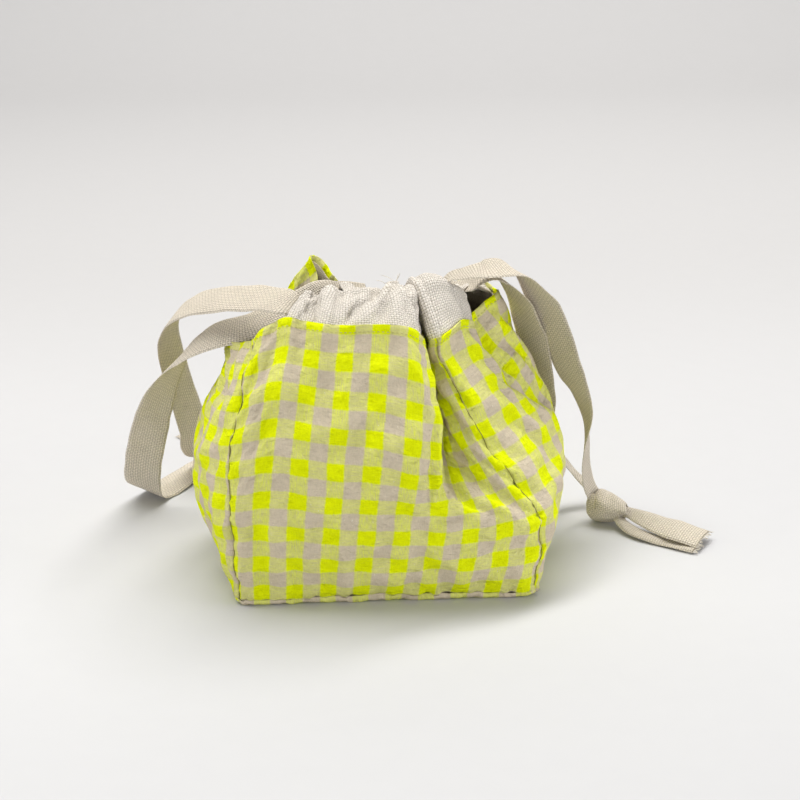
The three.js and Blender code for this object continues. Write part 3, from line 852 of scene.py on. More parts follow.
@dataclass(frozen=True)
class Dent:
    """A soft hollow pressed into the walls; a negative depth makes a bulge."""

    place: float
    before: float
    after: float
    rise: tuple[float, float]
    fall: tuple[float, float]
    depth: float
    towards: tuple[float, float]
    slant: float = 0.0

    def press(self, along: np.ndarray, share: np.ndarray, girth: float) -> np.ndarray:
        """Give the moves of a grid of wall points, rows by columns.

        Args:
            along: Places on the girth.
            share: Shares of the cut height.
            girth: Length of the cloth around the bag.

        Returns:
            The moves, one row for each share.
        """
        place = self.place - self.slant * (1.0 - share[:, None])
        gap = np.mod(along[None] - place + girth / 2, girth) - girth / 2
        level = bell(gap, np.where(gap < 0, self.before, self.after))
        height = smoothstep(*self.rise, share) * (1.0 - smoothstep(*self.fall, share))
        reach = self.depth * height[:, None] * level
        return reach[..., None] * np.array([*self.towards, 0.0])


@dataclass
class WallShape:
    """The filled bag's four walls, drawn in at the top, all in mm."""

    front_width: float = 186.0
    side_width: float = 130.0
    corner_radius: float = 10.0
    front_swell: float = 14.0
    side_swell: float = 20.0
    corner_swell: float = 9.0
    swell_rise: float = 0.92
    front_rise: float = 0.78
    draw_from: float = 0.3
    roll: float = 7.0
    roll_taps: int = 9
    roll_fall: float = 2.5
    dip: float = 0.4
    fold_onset: tuple[float, float] = (0.02, 0.12)
    bottom: float = 1.4
    lift: float = 2.2
    powers: Sequence[tuple[float, float]] = (
        (0, 3.0), (30, 3.6), (70, 4.0), (105, 3.4), (130, 2.1), (178, 1.05), (215, 1.35),
        (250, 2.2), (287, 2.6), (316, 2.2), (400, 1.8), (502, 1.8), (552, 3.0), (600, 4.2),
    )
    edge: Sequence[tuple[float, float, float, float]] = (
        (0, -76.5, -32, 160), (10, -73, -38, 167), (31, -56.5, -44, 178), (40, -49.5, -47, 175.5),
        (66, -25, -53, 174), (81, -11, -56, 175.5), (96, 4, -57, 175.5), (110, 17, -53, 171),
        (124, 22.5, -45, 162), (186, 33, -41, 160), (201, 44, -26, 162), (215, 51, -14, 165),
        (230, 58, -3, 158), (264, 62, 12, 164), (287, 75, 25, 170), (302, 73, 38, 168),
        (316, 65, 47, 175), (336, 52, 58, 167), (382, 33, 62, 162), (406, 12, 61, 161),
        (452, -14, 59, 163), (472, -24, 50, 171), (495, -34, 57, 184), (502, -40, 59, 187),
        (508, -41, 55, 185), (517, -37, 50, 177), (526, -36, 44, 169), (541, -56, 40, 163),
        (556, -76, 30, 155), (584, -94, 9, 147), (608, -85, -16, 153),
    )
    folds: Sequence[Fold] = (
        Fold(124, 186, (0, 1)), Fold(230, 264, (-1, 0.3)), Fold(336, 382, (0, -1)),
        Fold(406, 452, (0, -1)),
    )
    dents: Sequence[Dent] = (
        Dent(141, 7, 27, (0.34, 0.52), (0.98, 1.1), 23.0, (0.12, 1.0), 24.0),
        Dent(116, 18, 9, (0.35, 0.65), (0.9, 1.05), 5.0, (0.4, -0.9), 22.0),
        Dent(186, 30, 36, (0.32, 0.6), (0.9, 1.05), 9.0, (-1.0, 0.3)),
    )

    @property
    def widths(self) -> tuple[float, float, float, float]:
        """Widths of the four panels, in the order of the girth."""
        return (self.front_width, self.side_width, self.front_width, self.side_width)

    @property
    def girth(self) -> float:
        """Length of the cloth around the bag."""
        return 2 * (self.front_width + self.side_width)

    def panel_places(self, along: np.ndarray) -> tuple[np.ndarray, np.ndarray]:
        """Find each place's panel number and its distance from that panel's first seam.

        Args:
            along: Places on the girth.

        Returns:
            Numbers from 0 to 3, and distances.
        """
        starts = np.cumsum([0.0, *self.widths])
        place = np.mod(along, self.girth)
        number = np.clip(np.searchsorted(starts, place, side="right") - 1, 0, 3)
        return number, place - starts[number]

    def envelope(self, along: np.ndarray) -> np.ndarray:
        """Find the top edge without its pleats.

        Args:
            along: Places on the girth.

        Returns:
            Points of the edge.
        """
        table = np.array(self.edge, dtype=float)
        count = len(table)
        place = np.mod(along, self.girth)
        first = np.searchsorted(table[:, 0], place, side="right") - 1

        def knot(step: int) -> tuple[np.ndarray, np.ndarray]:
            """Give the edge point some steps on.

            Args:
                step: Steps on from the place's own row of the table.

            Returns:
                Places on the girth, and points.
            """
            index = first + step
            turn = index // count
            row = table[index - turn * count]
            return row[:, 0] + turn * self.girth, row[:, 1:]

        (s0, p0), (s1, p1), (s2, p2), (s3, p3) = (knot(step) for step in (-1, 0, 1, 2))
        span = s2 - s1
        t = ((place - s1) / span)[:, None]
        m1 = (p2 - p0) * (span / (s2 - s0))[:, None]
        m2 = (p3 - p1) * (span / (s3 - s1))[:, None]
        return (p1 * (2 * t**3 - 3 * t**2 + 1) + m1 * (t**3 - 2 * t**2 + t)
                + p2 * (3 * t**2 - 2 * t**3) + m2 * (t**3 - t**2))

    def base_and_swell(self, along: np.ndarray) -> tuple[np.ndarray, np.ndarray]:
        """Find the base seam and the way that the filled wall swells from it.

        Args:
            along: Places on the girth.

        Returns:
            Points of the base seam, and swells, each as x and y.
        """
        number, from_seam = self.panel_places(along)
        width = np.array(self.widths)[number]
        depth = np.where(number % 2 == 0, self.side_width, self.front_width)
        nearest = np.minimum(from_seam, width - from_seam)
        side = np.where(from_seam < width / 2, -1.0, 1.0)
        angle = np.minimum(nearest / self.corner_radius, 1.0) * (math.pi / 4) + math.pi / 4
        in_corner = nearest < self.corner_radius
        inset = self.corner_radius
        rounded = side * (width / 2 - inset + inset * np.cos(angle))
        across = np.where(in_corner, rounded, from_seam - width / 2)
        out = np.where(in_corner, depth / 2 - inset + inset * np.sin(angle), depth / 2)
        turn = number * (math.pi / 2)
        cos, sin = np.cos(turn), np.sin(turn)
        base = np.stack([across * cos + out * sin, across * sin - out * cos], axis=1)
        reach = np.where(number % 2 == 0, self.front_swell, self.side_swell)
        reach = reach * np.sin(math.pi * from_seam / width)
        corner = base / np.array([self.front_width, self.side_width]) * self.corner_swell
        return base, np.stack([sin * reach, -cos * reach], axis=1) + corner

    def lowest(self, along: np.ndarray) -> np.ndarray:
        """Find the height of the bottom seam, which lifts a little between the corners.

        Args:
            along: Places on the girth.

        Returns:
            Heights, one for each place.
        """
        number, from_seam = self.panel_places(along)
        share = from_seam / np.array(self.widths)[number]
        arch = np.sin(math.pi * share) ** 2
        return self.bottom + self.lift * 0.5 + arch * self.lift

    def plain(self, along: np.ndarray, share: np.ndarray) -> np.ndarray:
        """Find the wall without its pleats.

        Args:
            along: Places on the girth.
            share: Shares of the cut height.

        Returns:
            Points, one row for each share.
        """
        table = np.array(self.powers)
        power = np.interp(np.mod(along, self.girth), table[:, 0], table[:, 1], period=self.girth)
        drawn = np.maximum(0.0, (share - self.draw_from) / (1 - self.draw_from))
        drawn = (drawn[:, None] ** power[None])[..., None]
        number, from_seam = self.panel_places(along)
        front = np.where(number == 0, np.sin(math.pi * from_seam / self.front_width) ** 0.5, 0.0)
        rise = self.swell_rise + (self.front_rise - self.swell_rise) * front
        fullness = np.sin(math.pi * share[:, None] ** rise[None])[..., None]
        top = self.envelope(along)
        base, swell = self.base_and_swell(along)
        level = (base[None] + swell[None] * fullness) * (1 - drawn) + top[None, :, :2] * drawn
        low = self.lowest(along)
        height = low[None] + (top[None, :, 2] - low[None]) * share[:, None]
        return np.concatenate([level, height[..., None]], axis=2)

    def grid(self, along: np.ndarray, share: np.ndarray) -> np.ndarray:
        """Find the wall with its pleats.

        Args:
            along: Places on the girth.
            share: Shares of the cut height.

        Returns:
            Points, one row for each share.
        """
        taps = np.linspace(-1.0, 1.0, self.roll_taps)
        weights = np.cos(taps * math.pi / self.roll_fall)
        total = sum(self.creased(along + tap * self.roll, share) * weight
                    for tap, weight in zip(taps, weights))
        dents = sum(dent.press(along, share, self.girth) for dent in self.dents)
        return total / weights.sum() + dents

    def creased(self, along: np.ndarray, share: np.ndarray) -> np.ndarray:
        """Find the wall with its pleats as sharp creases, in rows as in grid().

        Args:
            along: Places on the girth.
            share: Shares of the cut height.

        Returns:
            Points, one row for each share.
        """
        points = self.plain(along, share)
        place = np.mod(along, self.girth)
        for fold in self.folds:
            columns = np.nonzero((place > fold.start) & (place < fold.end))[0]
            cloth = fold.end - fold.start
            ends = self.plain(np.array([fold.start, fold.end]), share)
            start, end = ends[:, 0], ends[:, 1]
            taken_up = np.minimum(1.0, np.linalg.norm((end - start)[:, :2], axis=1) / cloth)
            turn = (1 - taken_up**2) / 2
            towards = np.array([*fold.towards, 0.0])
            towards = towards / np.linalg.norm(towards) - UP * self.dip
            deepest = start + towards * (turn * cloth)[:, None]
            gone = ((place[columns] - fold.start) / cloth)[None, :]
            inwards = np.minimum(1.0, gone / np.maximum(turn, 1e-6)[:, None])[..., None]
            outwards = np.clip((gone - turn[:, None]) / (1 - turn[:, None]), 0.0, 1.0)[..., None]
            path = (start[:, None] + (deepest - start)[:, None] * inwards
                    + (end - deepest)[:, None] * outwards)
            weight = smoothstep(*self.fold_onset, turn)[:, None, None]
            points[:, columns] = points[:, columns] * (1 - weight) + path * weight
        return points


@dataclass
class ClothRelaxer:
    """Settles a grid of cloth by pulling its threads to their cut lengths."""

    rounds: int = 120
    shear: float = 0.25
    bend: float = 0.22
    keep_speed: float = 0.86

    @staticmethod
    def pairs(count: int, gap: int, ring: bool) -> list[tuple[np.ndarray, np.ndarray]]:
        """Pair places some steps apart, in two groups that share no place.

        Args:
            count: Number of places.
            gap: Steps between the two of a pair.
            ring: Whether the last place meets the first.

        Returns:
            The two groups of first and second places.
        """
        index = np.arange(count)
        groups = []
        for phase in (0, 1):
            first = index[(index // gap) % 2 == phase]
            if not ring:
                first = first[first + gap < count]
            groups.append((first, (first + gap) % count))
        return groups

    @staticmethod
    def correction(first: np.ndarray, second: np.ndarray, rest: np.ndarray,
                   share: float) -> np.ndarray:
        """Find the move that brings two sets of points to their distance.

        Args:
            first: The first points.
            second: The second points.
            rest: Their cut distances.
            share: Share of the way that they go.

        Returns:
            Moves of the first points.
        """
        gap = second - first
        length = np.maximum(np.linalg.norm(gap, axis=-1), 1e-6)
        return gap * (0.5 * share * (length - rest) / length)[..., None]

    def relax(self, start: np.ndarray, across: np.ndarray, up: np.ndarray, hold: np.ndarray,
              reach: np.ndarray, ring: bool) -> np.ndarray:
        """Settle a cloth.

        Args:
            start: Grid of points to start from.
            across: Cut length from each point to the next in its row.
            up: Cut length from each point to the next in its column.
            hold: How firmly each point is held where it starts, from 0 to 1.
            reach: How far each point may move.
            ring: Whether the last column meets the first.

        Returns:
            The settled grid.
        """
        points, before = start.copy(), start.copy()
        rows, columns = start.shape[:2]
        diagonal = np.hypot(across, up)
        level = {gap: self.pairs(columns, gap, ring) for gap in (1, 2, 4)}
        rise = {gap: self.pairs(rows, gap, False) for gap in (1, 2, 4)}
        share_of = {1: 1.0, 2: self.bend, 4: self.bend * 0.5}
        for _ in range(self.rounds):
            points, before = points + (points - before) * self.keep_speed, points
            for gap, share in share_of.items():
                for a, b in level[gap]:
                    move = self.correction(points[:, a], points[:, b], across[:, a] * gap, share)
                    points[:, a] += move
                    points[:, b] -= move
                for a, b in rise[gap]:
                    move = self.correction(points[a], points[b], up[a] * gap, share)
                    points[a] += move
                    points[b] -= move
            for low, high in rise[1]:
                for lean in (1, -1):
                    index = np.arange(columns)
                    if not ring:
                        index = index[(index + lean >= 0) & (index + lean < columns)]
                    other = (index + lean) % columns
                    a, b = np.ix_(low, index), np.ix_(high, other)
                    move = self.correction(points[a], points[b], diagonal[a], self.shear)
                    points[a] += move
                    points[b] -= move
            shift = (points - start) * (1 - hold)[..., None]
            length = np.maximum(np.linalg.norm(shift, axis=-1), 1e-6)
            points = start + shift * np.minimum(1.0, reach / length)[..., None]
        return points


@dataclass(frozen=True)
class SeamRelief:
    """How far the seams, hems and stitches sink into a panel's face, in mm."""

    depth: float = 0.8
    groove: float = 1.6
    pucker: float = 0.5
    pucker_reach: float = 7.0
    bottom: float = 1.0
    bottom_groove: float = 1.8
    bottom_reach: float = 6.0
    stitch: float = 0.35
    stitch_at: float = 4.3
    stitch_groove: float = 1.2
    lip: float = 0.8
    lip_width: float = 2.4

    def drop(self, flat: np.ndarray, width: float, height: float, index: int) -> np.ndarray:
        """Measure the drop of a panel's face.

        Args:
            flat: Places on the flat cloth.
            width: Width of the panel.
            height: Height of its cloth.
            index: Its number in the order of the girth.

        Returns:
            The drops, one for each place.
        """
        across, up = flat[..., 0], flat[..., 1]
        from_seam, from_top = np.minimum(across, width - across), height - up
        pucker = Ripple(31 + index, 5.0, 11.0).at(across * 0.3, up)
        hem = Ripple(41 + index, 5.0, 12.0).at(across, up * 0.3)
        seam = self.depth * bell(from_seam, self.groove) * (0.95 + 0.1 * pucker)
        seam += self.pucker * pucker * bell(from_seam, self.pucker_reach)
        seam += self.bottom * bell(up, self.bottom_groove)
        seam += self.bottom * hem * bell(up, self.bottom_reach)
        seam += self.stitch * bell(from_top - self.stitch_at, self.stitch_groove)
        return seam - self.lip * bell(from_top, self.lip_width)


@dataclass
class BagBody:
    """The outer panels, linings and base, in mm."""

    shape: WallShape = field(default_factory=WallShape)
    relief: SeamRelief = SeamRelief()
    columns: tuple[int, int, int, int] = (94, 66, 94, 66)
    rows: int = 84
    rounds: int = 90
    cut_height: float = 167.0
    cloth_height: float = 181.8
    ply: float = 1.0
    lining_depth: float = 2.6
    lining_wave: float = 0.5
    lining_ply: float = 0.7
    slack: float = 1.008
    crush: float = 1.05
    wander: float = 4.0
    wall_hold: float = 0.02
    seam_hold: float = 0.1
    top_hold: float = 0.25
    crinkles: Sequence[tuple[Ripple, float]] = (
        (Ripple(11, 16.0, 46.0), 2.1), (Ripple(12, 7.0, 14.0), 0.4),
    )
    climb_spread: int = 20
    rim_radius: float = 5.0
    rim_bulge: float = 0.6
    rim_turn: float = 96.0
    rim_overlap: float = 0.8
    rim_rows: int = 12
    floor_rows: int = 13
    hang: float = 7.0
    names: tuple[str, str, str, str] = ("front", "right", "back", "left")
    nodes: tuple[str, str, str, str] = (
        "front_panel", "right_side_panel", "back_panel", "left_side_panel",
    )

    def __post_init__(self) -> None:
        """Settle the walls once, for every piece that is cut from them."""
        widths = self.shape.widths
        starts = np.cumsum([0.0, *widths])
        self.along = np.concatenate([
            start + np.arange(count) * width / count
            for start, width, count in zip(starts, widths, self.columns)
        ])
        self.share = np.linspace(0.0, 1.0, self.rows)
        self.seams = np.cumsum([0, *self.columns])
        self.walls = self.settle()
        self.normals = grid_normals(self.walls, True)
        steps = np.linalg.norm(np.diff(self.walls, axis=0), axis=-1)
        near = np.arange(-self.climb_spread, self.climb_spread + 1)
        steps = sum(np.roll(steps, shift, axis=1) for shift in near) / len(near)
        climb = np.concatenate([np.zeros((1, len(self.along))), np.cumsum(steps, axis=0)])
        self.climb = climb * (self.cloth_height / climb[-1])

    def settle(self) -> np.ndarray:
        """Relax the walls from their formula, with crinkles to start the folds.

        Returns:
            The settled grid, rows by columns.
        """
        start = self.shape.grid(self.along, self.share)
        up_place = (self.share * self.cut_height)[:, None]
        from_bottom = np.minimum(1.0, self.share / 0.08)
        from_top = np.minimum(1.0, (1 - self.share) / 0.05 + 0.3)
        fade = (from_bottom * from_top)[:, None]
        crinkle = sum(ripple.at(self.along[None], up_place) * high
                      for ripple, high in self.crinkles)
        bumpy = start + grid_normals(start, True) * (crinkle * fade)[..., None]
        across = np.linalg.norm(np.roll(start, -1, axis=1) - start, axis=-1)
        cell = np.roll(self.along, -1) - self.along
        cell[-1] += self.shape.girth
        across = np.clip(cell[None], across, across * self.crush) * self.slack
        beyond = start[-1:] * 2 - start[-2:-1]
        up = np.linalg.norm(np.diff(start, axis=0, append=beyond), axis=-1) * self.slack
        hold = np.full(start.shape[:2], self.wall_hold)
        hold[0] = 1.0
        hold[-1] = self.top_hold
        for seam in self.seams[:-1]:
            hold[:, seam] = np.maximum(hold[:, seam], self.seam_hold)
        reach = np.full(start.shape[:2], self.wander)
        relaxer = ClothRelaxer(rounds=self.rounds)
        return relaxer.relax(bumpy, across, up, hold, reach, True)

    def panel_columns(self, index: int) -> np.ndarray:
        """Column numbers of one panel, both seams included."""
        return np.arange(self.seams[index], self.seams[index + 1] + 1) % len(self.along)

    def flat_places(self, index: int, columns: int) -> np.ndarray:
        """Places of one panel's grid on its flat cut, as long as the cloth is.

        Args:
            index: Its number in the order of the girth.
            columns: Columns of its grid.

        Returns:
            Places across and up, rows by columns.
        """
        width = self.shape.widths[index]
        across = np.broadcast_to(np.linspace(0.0, width, columns), (self.rows, columns))
        up = self.climb[:, self.panel_columns(index)]
        if index == 0:
            level = np.sin(math.pi * self.share ** 1.6)[:, None]
            share = across / width
            sag = smoothstep(0.15, 0.75, share) * smoothstep(1.0, 0.75, share)
            up = up + self.hang * level * sag
        return flat_grid(across, up)

    def make_panel(self, index: int) -> bpy.types.Object:
        """Sew one outer panel.

        Args:
            index: Its number in the order of the girth.

        Returns:
            The panel.
        """
        columns = self.panel_columns(index)
        normal = self.normals[:, columns]
        flat = self.flat_places(index, len(columns))
        width = self.shape.widths[index]
        drop = self.relief.drop(flat, width, self.cloth_height, index)
        outer = self.walls[:, columns] - normal * drop[..., None]
        parts = MeshParts()
        parts.add_sheet(outer, outer - normal * self.ply, flat)
        piece = parts.make(f"{self.names[index]}_gingham", GINGHAM)
        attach(piece, "bag")
        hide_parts(self.nodes[index])
        return piece

    def make_lining(self, index: int) -> bpy.types.Object:
        """Hang one lining panel inside its outer panel.

        Args:
            index: Its number in the order of the girth.

        Returns:
            The lining panel.
        """
        columns = self.panel_columns(index)
        flat = self.flat_places(index, len(columns))[::2, ::2]
        near = (-2, -1, 0, 1, 2)
        calm = sum(np.roll(self.walls, shift, axis=1) for shift in near) / len(near)
        wall, normal = (grid[::2, columns[::2]] for grid in (calm, grid_normals(calm, True)))
        wavy = Ripple(51 + index, 9.0, 20.0).at(flat[..., 0], flat[..., 1] * 0.2)
        top = bell((1.0 - self.share[::2, None]) * self.cut_height, 6.0)
        outer = wall - normal * (self.lining_depth + self.lining_wave * wavy * top)[..., None]
        parts = MeshParts()
        parts.add_sheet(outer, outer - normal * self.lining_ply, flat)
        piece = parts.make(f"{self.names[index]}_lining", LINING)
        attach(piece, "bag")
        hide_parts(f"lining_{self.names[index]}")
        return piece

    def make_base(self, name: str, node: str, finish: Finish, inset: float,
                  height: float, ply: float) -> bpy.types.Object:
        """Lay a base panel whose rim rounds up to the bottom seam.

        Args:
            name: Name of the piece.
            node: CAD node that it stands for.
            finish: Its finish.
            inset: How far its rim lies inside the seam.
            height: Height of its underside on the floor.
            ply: Thickness of the cloth.

        Returns:
            The base panel.
        """
        rim, _ = self.shape.base_and_swell(self.along)
        half = np.array([self.shape.front_width, self.shape.side_width]) / 2
        turn = math.radians(self.rim_turn)
        rim_angle = np.linspace(0.0, turn, self.rim_rows)
        rounded = self.rim_bulge - self.rim_radius * (1.0 - np.sin(rim_angle))
        spread = np.concatenate([np.linspace(0.02, 0.88, self.floor_rows), 1.0 + rounded / half[1]])
        rows = rim[None] * (spread * (1.0 - inset / half[1]))[:, None, None]
        angle = np.concatenate([np.zeros(self.floor_rows), rim_angle])
        bend = (1.0 - np.cos(angle)) / (1.0 - math.cos(turn))
        seam = self.walls[0, :, 2] + self.rim_overlap
        curl = bend[:, None] * np.maximum(seam - height, 0.0)[None]
        pucker = Ripple(61, 6.0, 14.0).at(self.along[None], spread[:, None] * 10.0)
        curl = curl + 0.5 * pucker * smoothstep(0.9, 0.97, spread)[:, None]
        under = np.concatenate([rows, (height + np.maximum(curl, 0.0))[..., None]], axis=2)
        grids = (under + UP * ply, under, rows + half)
        parts = MeshParts()
        parts.add_sheet(*(np.concatenate([grid, grid[:, :1]], axis=1)[::-1] for grid in grids))
        piece = parts.make(name, finish)
        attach(piece, "bag")
        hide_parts(node)
        return piece

    def build(self) -> None:
        """Make every piece of the body."""
        for index, name in enumerate(self.names):
            self.make_panel(index)
            self.make_lining(index)
            log.info("%s panel and lining", name)
        self.make_base("base_gingham", "base_panel", GINGHAM, 0.5, 0.0, self.ply)
        self.make_base("base_lining", "lining_base", LINING, 4.0, 1.5, self.lining_ply)
        log.info("base and its lining")


# ---------------------------------------------------------------- tapes and threads


def tape_section(corners: int, half_ply: float, least: float,
                 power: float) -> tuple[np.ndarray, np.ndarray]:
    """Give the outline of a tape cut across, once round.

    Args:
        corners: Points on each face.
        half_ply: Half the thickness, in mm.
        least: Share of the thickness, squared, that is left at the edges.
        power: How late the faces round off towards the edges.

    Returns:
        Places across, from -1 to 1, and heights over the middle.
    """
    reach = np.linspace(-1.0, 1.0, corners)
    profile = np.concatenate([reach, reach[::-1]])
    face = np.concatenate([np.full(corners, half_ply), np.full(corners, -half_ply)])
    return profile, face * np.sqrt(np.maximum(least, 1.0 - np.abs(profile) ** power))


@dataclass
class Tape:
    """A flat woven tape along a route.

    Each row of the route has a point in mm, the direction across the tape there, and the
    width of the tape there.
    """

    route: Sequence[Sequence[float]]
    seed: int
    ply: float = 1.0
    cup: float = 0.6
    waver: float = 0.018
    ripple: float = 0.35
    step: float = 1.6
    corners: int = 11

    def frame(self) -> tuple[np.ndarray, np.ndarray, np.ndarray, np.ndarray]:
        """Walk the route.

        Returns:
            Places, directions across, normals and widths.
        """
        table = np.array(self.route, dtype=float)
        places, mark = SmoothPath(table[:, :3]).sample(self.step)
        index = np.arange(len(table))
        across = read_line(mark, index, unit(table[:, 3:6]))
        tangent = unit(np.gradient(places, axis=0))
        across = unit(across - tangent * (across * tangent).sum(axis=1, keepdims=True))
        width = np.interp(mark, index, table[:, 6])
        return places, across, unit(np.cross(tangent, across)), width

    def add_to(self, parts: MeshParts) -> np.ndarray:
        """Add the tape's tube to a mesh.

        Args:
            parts: Mesh being collected.

        Returns:
            The middle line.
        """
        places, across, normal, width = self.frame()
        along = (np.arange(len(places)) * self.step)[:, None]
        profile, thick = tape_section(self.corners, self.ply / 2, 0.12, 8)
        waver = Ripple(self.seed, 14.0, 60.0).at(along, profile[None] * 9.0)
        ripple = Ripple(self.seed + 1, 18.0, 50.0).at(along, profile[None] * 12.0)
        half = width[:, None] / 2 * (1.0 + self.waver * waver)
        cupped = self.cup * (profile[None] ** 2 - CUP_MIDDLE) + self.ripple * ripple
        rings = (places[:, None] + across[:, None] * (profile[None] * half)[..., None]
                 + normal[:, None] * (cupped + thick[None])[..., None])
        parts.add_tube(rings, flat_grid(profile[None] * TAPE_WIDTH / 2 + TAPE_OFFSET, along))
        return places


@dataclass(frozen=True)
class Knot:
    """An overhand knot: two strands pressed into a core, and a wrap of tape around them, in mm."""

    at: Point
    turn: float
    length: float = 31.0
    wide: float = 24.0
    high: float = 20.0
    core_corners: int = 40
    core_rings: int = 25
    core_girth: float = 0.42
    core_length: float = 0.46
    wrap_rings: int = 90
    wrap_turns: float = 1.12
    wrap_start: float = 2.2
    wrap_corners: int = 13
    half_band: float = 11.0
    half_ply: float = 0.55
    slant: float = 0.22
    swing: float = 2.4
    overlap: float = 0.085
    floor_gap: float = 0.2

    @staticmethod
    def taper(x: np.ndarray) -> np.ndarray:
        """Share of the girth at places along it: broad at the strands, narrow at the tails."""
        return 1.12 - 0.56 * smoothstep(-12.0, 17.0, x)

    def placed(self, local: np.ndarray) -> np.ndarray:
        """Turn and move local points to the knot's place."""
        cos, sin = math.cos(self.turn), math.sin(self.turn)
        turn = np.array([[cos, -sin, 0.0], [sin, cos, 0.0], [0.0, 0.0, 1.0]])
        return local @ turn.T + np.array(self.at)

    def add_core(self, parts: MeshParts) -> None:
        """Add the two strands inside, pressed into one creased lump.

        Args:
            parts: Mesh being collected.
        """
        angle = np.linspace(0.0, 2 * math.pi, self.core_corners + 1)[None, :-1]
        span = np.linspace(-1.0, 1.0, self.core_rings)[:, None]
        x = span * self.length * self.core_length
        swell = np.sqrt(np.maximum(0.0, 1.0 - np.abs(span) ** 2.6)) * 0.9 + 0.04
        crease = 1.0 - 0.10 * np.cos(2 * angle + span * 2.2) * (1 - span**2)
        girth = swell * self.taper(x) * crease * self.core_girth
        sides = (np.cos(angle) * girth * self.wide, np.sin(angle) * girth * self.high)
        core = np.stack(np.broadcast_arrays(x, *sides), axis=2)
        parts.add_tube(self.placed(core), flat_grid(angle * 10.0, span * self.length * 0.5))

    def add_wrap(self, parts: MeshParts) -> None:
        """Add the tape that goes once round the core and lies on the floor.

        Args:
            parts: Mesh being collected.
        """
        sweep = np.linspace(-0.3, 2 * math.pi * self.wrap_turns, self.wrap_rings)[:, None]
        profile, thick = tape_section(self.wrap_corners, self.half_ply, 0.15, 6)
        slant = (sweep / (2 * math.pi) - 0.5) * self.length * self.slant
        x = slant + profile * self.half_band + self.swing * np.sin(sweep)
        domed = np.sqrt(np.maximum(0.05, 1.0 - (x / (self.length * 0.72)) ** 2)) * self.taper(x)
        girth = (1.0 + self.overlap * (sweep / sweep[-1])) * domed
        uneven = Ripple(77, 6.0, 16.0).at(sweep * 10.0, profile[None] * 8.0)
        rise = thick + 0.4 * np.cos(3 * sweep) * profile + 0.5 * uneven
        angle = sweep + self.wrap_start
        wrap = np.stack([x, np.cos(angle) * (self.wide * 0.46 * girth + rise),
                         np.sin(angle) * (self.high * 0.465 * girth + rise)], axis=2)
        lowest = self.floor_gap + 0.4 * thick - self.at[2]
        wrap[..., 2] = np.maximum(wrap[..., 2], lowest)
        flat = flat_grid(profile[None] * TAPE_WIDTH / 2 + TAPE_OFFSET, sweep * 12.0)
        parts.add_tube(self.placed(wrap), flat)


@dataclass
class Drawstring:
    """One tape drawstring: two strands out of the casing, a knot and two tails."""

    side: Side
    upper: Tape
    lower: Tape
    knot: Knot
    tails: Sequence[Tape]
    exits: tuple[Point, Point]
    hinge_start: tuple[Point, Point]
    hinge_end: tuple[Point, Point]
    fray_count: int = 30
    fray_radius: float = 0.24
    fray_floor: float = 0.35

    def make_strand(self, level: str, tape: Tape) -> None:
        """Make one strand from inside the casing to the knot.

        Args:
            level: "upper" or "lower".
            tape: Its route.
        """
        parts = MeshParts()
        path = tape.add_to(parts)
        name = self.side.value
        piece = parts.make(f"{name}_{level}_tape", TAPE)
        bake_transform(piece)
        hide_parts(f"{name}_{level}_exit", f"{name}_{level}_strand")
        [tuple(place) for place in path[::4] * MM]

    def make_knot(self) -> bpy.types.Object:
        """Tie the knot.

        Returns:
            The knot.
        """
        parts = MeshParts()
        self.knot.add_core(parts)
        self.knot.add_wrap(parts)
        name = self.side.value
        piece = parts.make(f"{name}_knot_tape", TAPE)
        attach(piece, f"{name}_loop")
        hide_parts(f"{name}_knot")
        return piece

    def make_tail(self, index: int, tape: Tape) -> list[bpy.types.Object]:
        """Make a tail with its cut, frayed end.

        Args:
            index: 1 or 2.
            tape: Its route.

        Returns:
            The tail and its loose yarns.
        """
        name = self.side.value
        parts = MeshParts()
        tape.add_to(parts)
        piece = parts.make(f"{name}_tail_{index}_tape", TAPE)
        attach(piece, f"{name}_loop")
        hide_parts(f"{name}_tail_{index}")
        places, across, normal, width = (grid[-3:] for grid in tape.frame())
        end, side, out = places[-1], across[-1], normal[-1]
        forward = unit(end - places[0])
        rng = np.random.default_rng(tape.seed + 5)
        run = np.linspace(0.0, 1.0, 5)[:, None]
        fray = MeshParts()
        for spot in np.linspace(-0.96, 0.96, self.fray_count):
            root = end + side * spot * width[-1] / 2 - forward * 0.6
            root = root + out * tape.cup * (spot**2 - CUP_MIDDLE)
            bend = side * rng.uniform(-1.4, 1.4) + out * rng.uniform(-0.5, 0.9)
            line = root + forward * run * rng.uniform(1.2, 4.2) + bend * run**2
            line[:, 2] = np.maximum(line[:, 2], self.fray_floor)
            add_thread(fray, line, self.fray_radius)
        loose = fray.make(f"{name}_tail_{index}_fray", FRAY)
        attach(loose, f"{name}_loop")
        return [piece, loose]

    def build(self) -> None:
        """Make the whole drawstring."""
        knot = self.make_knot()
        ends = [piece for index, tape in enumerate(self.tails, 1)
                for piece in self.make_tail(index, tape)]
        self.make_strand("upper", self.upper)
        self.make_strand("lower", self.lower)
        log.info("%s drawstring", self.side.value)


def add_thread(parts: MeshParts, line: np.ndarray, radius: float) -> None:
    """Add a thin thread along a line.

    Args:
        parts: Mesh being collected.
        line: Points of the thread.
        radius: Its radius in mm.
    """
    tangent = unit(np.gradient(line, axis=0))
    side = unit(np.cross(tangent, THREAD_SIDE))
    other = np.cross(tangent, side)
    angle = np.arange(THREAD_CORNERS) * (2 * math.pi / THREAD_CORNERS)
    taper = np.full((len(line), 1), radius)
    taper[-1] *= 0.5
    rings = (line[:, None] + side[:, None] * (np.cos(angle) * taper)[..., None]
             + other[:, None] * (np.sin(angle) * taper)[..., None])
    parts.add_tube(rings, flat_grid(angle * radius, np.arange(len(line))[:, None] * 0.8))


